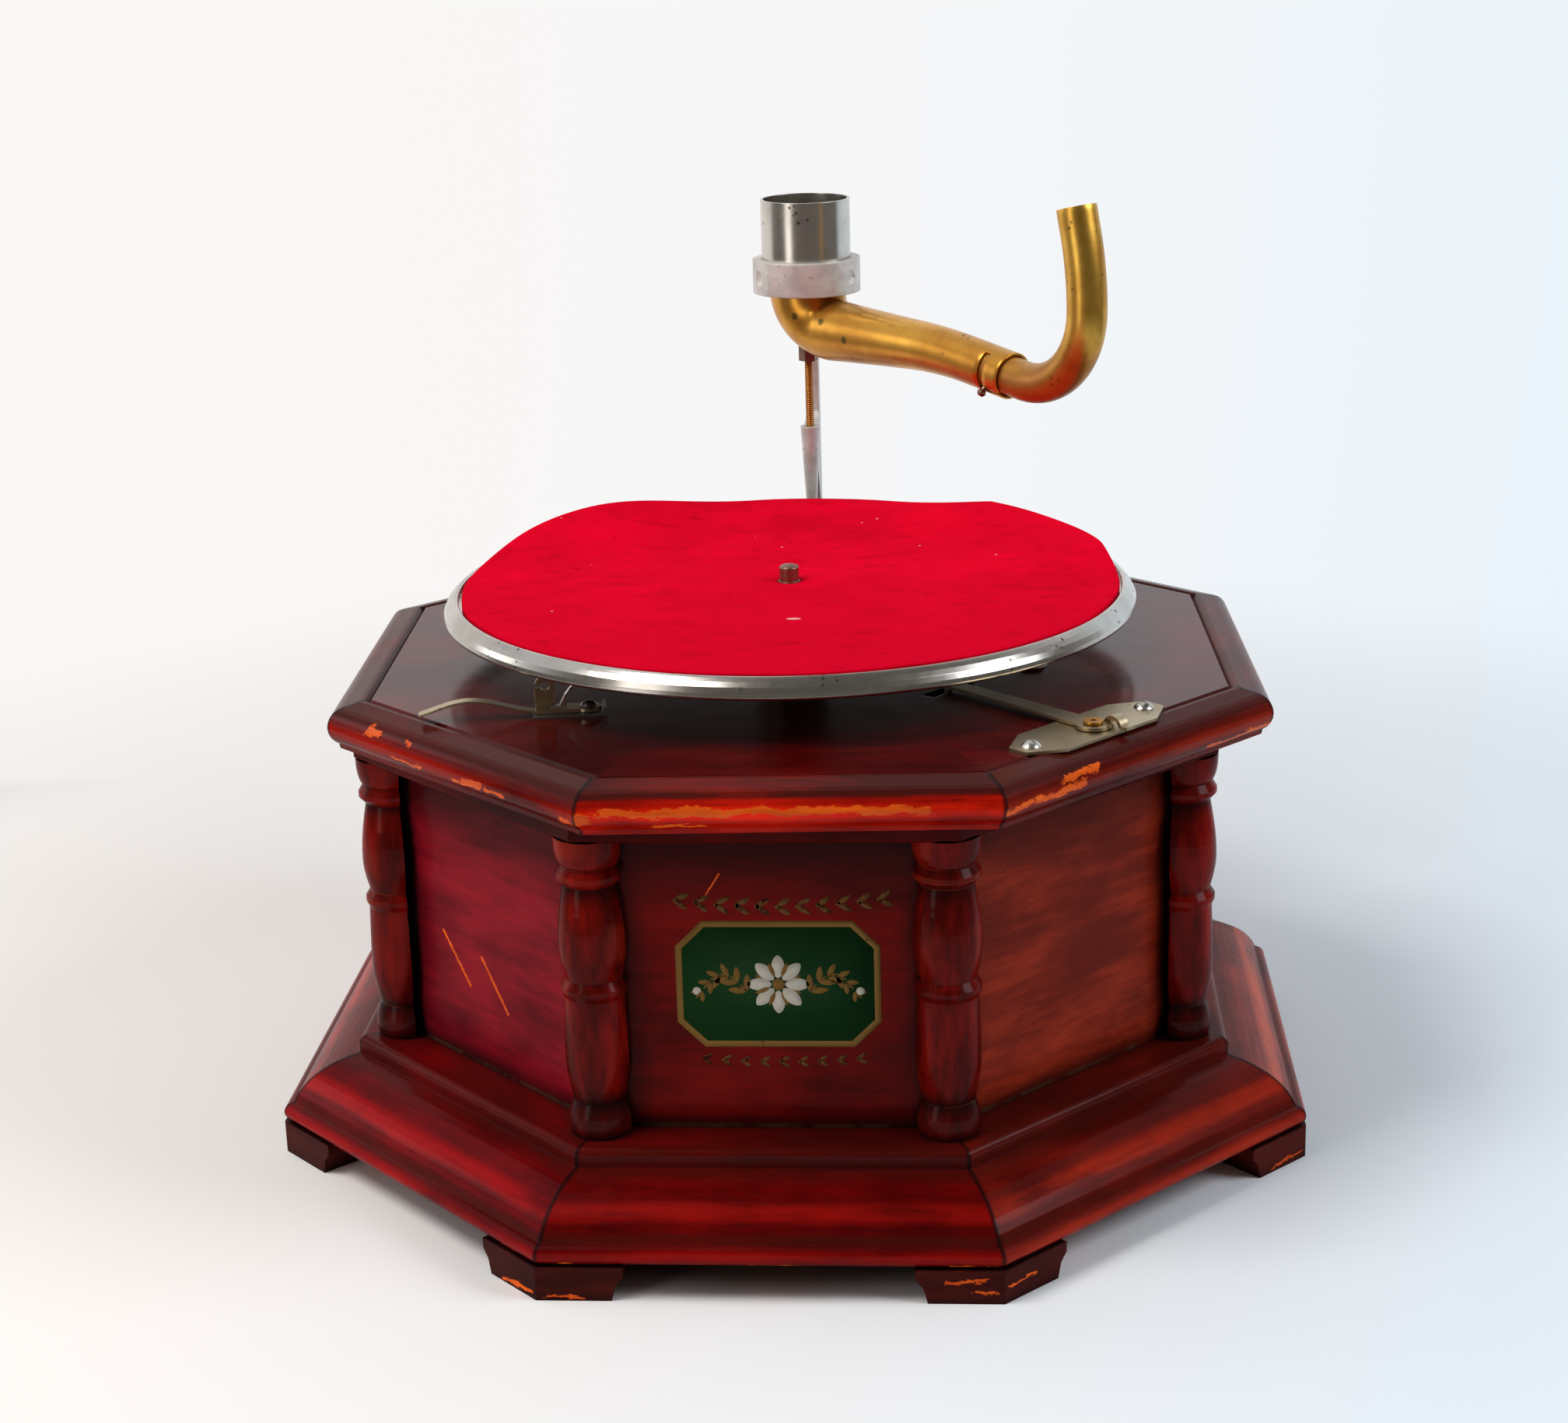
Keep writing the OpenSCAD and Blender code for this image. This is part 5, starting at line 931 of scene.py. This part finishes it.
def front_transfer():
    """A worn printed ornament: a flower and leaves on a green ground, between two garlands."""
    gold = painted_transfer("dull_gold_print", (0.26, 0.14, 0.035, 1), 0.06)
    faded = painted_transfer("faded_gold_print", (0.17, 0.075, 0.02, 1), 0.16)
    ivory = painted_transfer("ivory_print", (0.72, 0.68, 0.58, 1), 0.02)
    green = painted_transfer("green_print", (0.008, 0.05, 0.012, 1), 0.0)
    petals, gilt, border = bmesh.new(), bmesh.new(), bmesh.new()
    rosette(petals, PETALS, 2.2, 8.2, 4.4, LEAVES, 0)
    rosette(gilt, PETALS, 3.0, 5.2, 1.5, BUDS, math.pi / PETALS)
    leaf(gilt, on_the_front(-EYE_SIZE / 2, 0, EYE), EYE_SIZE, EYE_SIZE, 0.0)
    for side in (-1, 1):
        spray(gilt, side, LEAVES)
        bud = on_the_front(side * BUD_AT[0] - BUD_SIZE / 2, BUD_AT[1], BUDS)
        leaf(petals, bud, BUD_SIZE, BUD_SIZE, 0.0)
    garland(border, 74, 27.5, 3.0, 11, 5.4, EDGE)
    garland(border, 58, -28.0, 1.5, 9, 3.6, EDGE)
    prints = [("transfer_edge", gold, plaque(0, EDGE_WIDTH, EDGE)),
              ("transfer_ground", green, plaque(EDGE_WIDTH, 0, GROUND)),
              ("transfer_line", gold, plaque(LINE_INSET, LINE_WIDTH, LINE)),
              ("transfer_petals", ivory, petals), ("transfer_leaves", gold, gilt),
              ("transfer_garlands", faded, border)]
    for name, paint, mesh in prints:
        film = piece(name, mesh, paint, "cabinet").modifiers.new("film", "SOLIDIFY")
        film.thickness, film.offset = FILM * MM, -1.0


# DRESSING THE SOLIDS

# Green blots on the arm's elbow in mm, and the heights between which the gooseneck turns bright
ELBOW_BLOTS = [(6.8, 126.2, 269.3), (16.4, 115.0, 263.6), (-4.5, 134.5, 270.3)]
NECK_BRIGHTENS = (258 * MM, 285 * MM)
# Metals: bright, dull and tarnished colour, roughness and share of spots
BRASS_TARNISH, NICKEL_TARNISH = (0.09, 0.075, 0.025, 1), (0.09, 0.075, 0.06, 1)
brass = aged_metal("aged_brass", (0.72, 0.37, 0.055, 1), (0.46, 0.18, 0.02, 1), BRASS_TARNISH, 0.29, 0.05,
                   blots=ELBOW_BLOTS, film=0.1)
brown = aged_metal("browned_brass", (0.46, 0.2, 0.028, 1), (0.3, 0.1, 0.012, 1), (0.09, 0.06, 0.025, 1), 0.34,
                   0.05, film=0.4, brightens=NECK_BRIGHTENS)
plated = aged_metal("rubbed_nickel", (0.6, 0.57, 0.53, 1), (0.44, 0.41, 0.37, 1), NICKEL_TARNISH, 0.17, 0.05)
nickel = aged_metal("worn_nickel", (0.64, 0.61, 0.56, 1), (0.48, 0.45, 0.4, 1), NICKEL_TARNISH, 0.23, 0.05)
khaki = aged_metal("tarnished_plate", (0.5, 0.41, 0.27, 1), (0.36, 0.28, 0.17, 1), (0.12, 0.09, 0.06, 1),
                   0.34)
steel = aged_metal("oiled_steel", (0.42, 0.4, 0.38, 1), (0.26, 0.22, 0.19, 1), (0.08, 0.05, 0.03, 1), 0.34,
                   0.1)
rusty = aged_metal("browned_steel", (0.3, 0.2, 0.15, 1), (0.16, 0.085, 0.055, 1), (0.06, 0.03, 0.02, 1), 0.38,
                   0.12)
casting = sand_casting("cast_alloy_rough")

# Chips in mm: side, ends along it and levels
NOSE_CHIPS = [(5, (-46, -38), (164.5, 167)), (5, (-25, -20), (164.8, 166.4)), (5, (-32, -14), (158.6, 159.6)),
              (5, (3, 8), (158.6, 159.9)), (5, (9, 19), (158.8, 161)), (5, (21, 32), (158.8, 160.6)),
              (5, (60, 66), (157.5, 160)), (6, (-61, 45), (160.9, 163.4)), (6, (-44, -27), (156.4, 157.6)),
              (6, (-68, -63), (158.5, 162.5)), (7, (-41, -24), (163.2, 165.4)),
              (7, (-56, -30), (159.9, 162.3)), (7, (-67, -57), (159.6, 161.8)), (7, (34, 68), (157.2, 158.8))]
PLINTH_CHIPS = [(6, (-70, -52), (12, 12.9)), (6, (-8, 14), (12, 12.6)), (6, (58, 76), (12, 13.2)),
                (7, (-66, -30), (12, 12.8)), (7, (40, 72), (12, 12.6)), (5, (-50, -34), (12, 12.5)),
                (5, (52, 74), (12, 13))]
FOOT_CHIPS = [(7, (-75, -62), (5.6, 6.4)), (6, (66, 75), (3.6, 4.4)), (7, (60, 74), (2, 2.8)),
              (5, (60, 74), (1.4, 2.6)), (6, (-74, -60), (0.8, 1.6)), (6, (58, 70), (7.6, 8.6))]
# Scratches on the panels in mm: side, start and end (along, up), and width
PANEL_SCRATCHES = [(5, (-32, 87), (-17, 70), 0.75), (5, (-9, 83), (5, 66), 0.75),
                   (6, (-16, 132), (-21, 124), 0.4)]
PANEL_HALF = 55 * MM
# Levels of the mouldings in mm where glaze has gathered, with its share, and where it is rubbed thin
NOSE_GLAZE, NOSE_RUBBED = [(166, 175, 1.12)], [(159.5, 163.5)]
PLINTH_GLAZE, PLINTH_RUBBED = [(33, 41.5, 0.6), (18.6, 21.6, 0.75)], [(14, 17.4), (25, 29)]


def dress():
    """Gives every node of the solids its finish."""
    panel = varnished("panel_varnish", PANEL_STAINS, "along", 0.4, 0.05, scratches=PANEL_SCRATCHES, wear=0.0,
                      shaded_edges=(plinth_high, frieze_low, PANEL_HALF))
    nose = varnished("nose_varnish", NOSE_STAINS, "along", 0.28, 0.15, askew=True, chips=NOSE_CHIPS,
                     bands=NOSE_GLAZE, ridges=NOSE_RUBBED)
    plinth = varnished("plinth_varnish", PLINTH_STAINS, "along", 0.3, 0.08, chips=PLINTH_CHIPS,
                       bands=PLINTH_GLAZE, ridges=PLINTH_RUBBED)
    finishes = {
        "top_panel": varnished("deck_varnish", DECK_STAINS, "across", 0.2, 0.4, askew=True),
        "top_mouldings": nose, "plinth_mouldings": plinth,
        "bracket_feet": varnished("foot_varnish", FOOT_STAINS, "along", 0.42, 0.05, chips=FOOT_CHIPS),
        "frieze": varnished("frieze_varnish", DECK_STAINS, "along", 0.4, 0.05, wear=0.8),
        "base_board": varnished("board_varnish", DECK_STAINS, "across", 0.5, 0.0),
        "platter": plated, "spindle": rusty, "brake_lever": khaki, "brake_spring": nickel, "pivot_nut": rusty,
        "regulator_plate": khaki, "regulator_lever": khaki, "regulator_screws": nickel,
    }
    column = turned_wood("column_varnish")
    slots = {part["node"]: part["material_slot"] for part in frame["record"]["subparts"]}
    by_slot = {"mahogany": panel, "nickel": nickel, "steel": steel, "brass": brass, "cast_alloy": casting}
    for name, node in nodes.items():
        plain = column if name.startswith("column") else by_slot.get(slots[name], steel)
        node.data.materials.clear()
        node.data.materials.append(finishes.get(name, plain))


def dress_arm():
    """The tonearm, the gooseneck and its stud, and the pivot screw with its thread."""
    tube = swept_tube(tonearm_stations(), TUBE_SEGMENTS)
    cut_bayonet_slot(tube)
    arm = piece("tonearm_tube", tube, brass, "arm", ["tonearm"])
    tube = swept_tube(gooseneck_stations(), TUBE_SEGMENTS)
    neck = piece("gooseneck_tube", tube, brown, "neck", ["gooseneck"])
    for made in (arm, neck):
        thicken(made, TUBE_WALL * MM, TUBE_EDGE * MM, 2, math.radians(50))
    piece("bayonet_stud", bayonet_stud(), rusty, "neck")
    low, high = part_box("pivot_screw")
    rod = threaded_rod(low.z, high.z, (high.x - low.x) / 2, THREAD_PITCH * MM, THREAD_DEPTH * MM)
    piece("pivot_thread", rod, brown, "cabinet", ["pivot_screw"], math.radians(70))


bpy.context.scene.view_settings.view_transform = "Standard"
place_camera()
studio_world()
studio_lamps()
stage_sweep()
dress()
dress_arm()
felt_disc()
front_transfer()
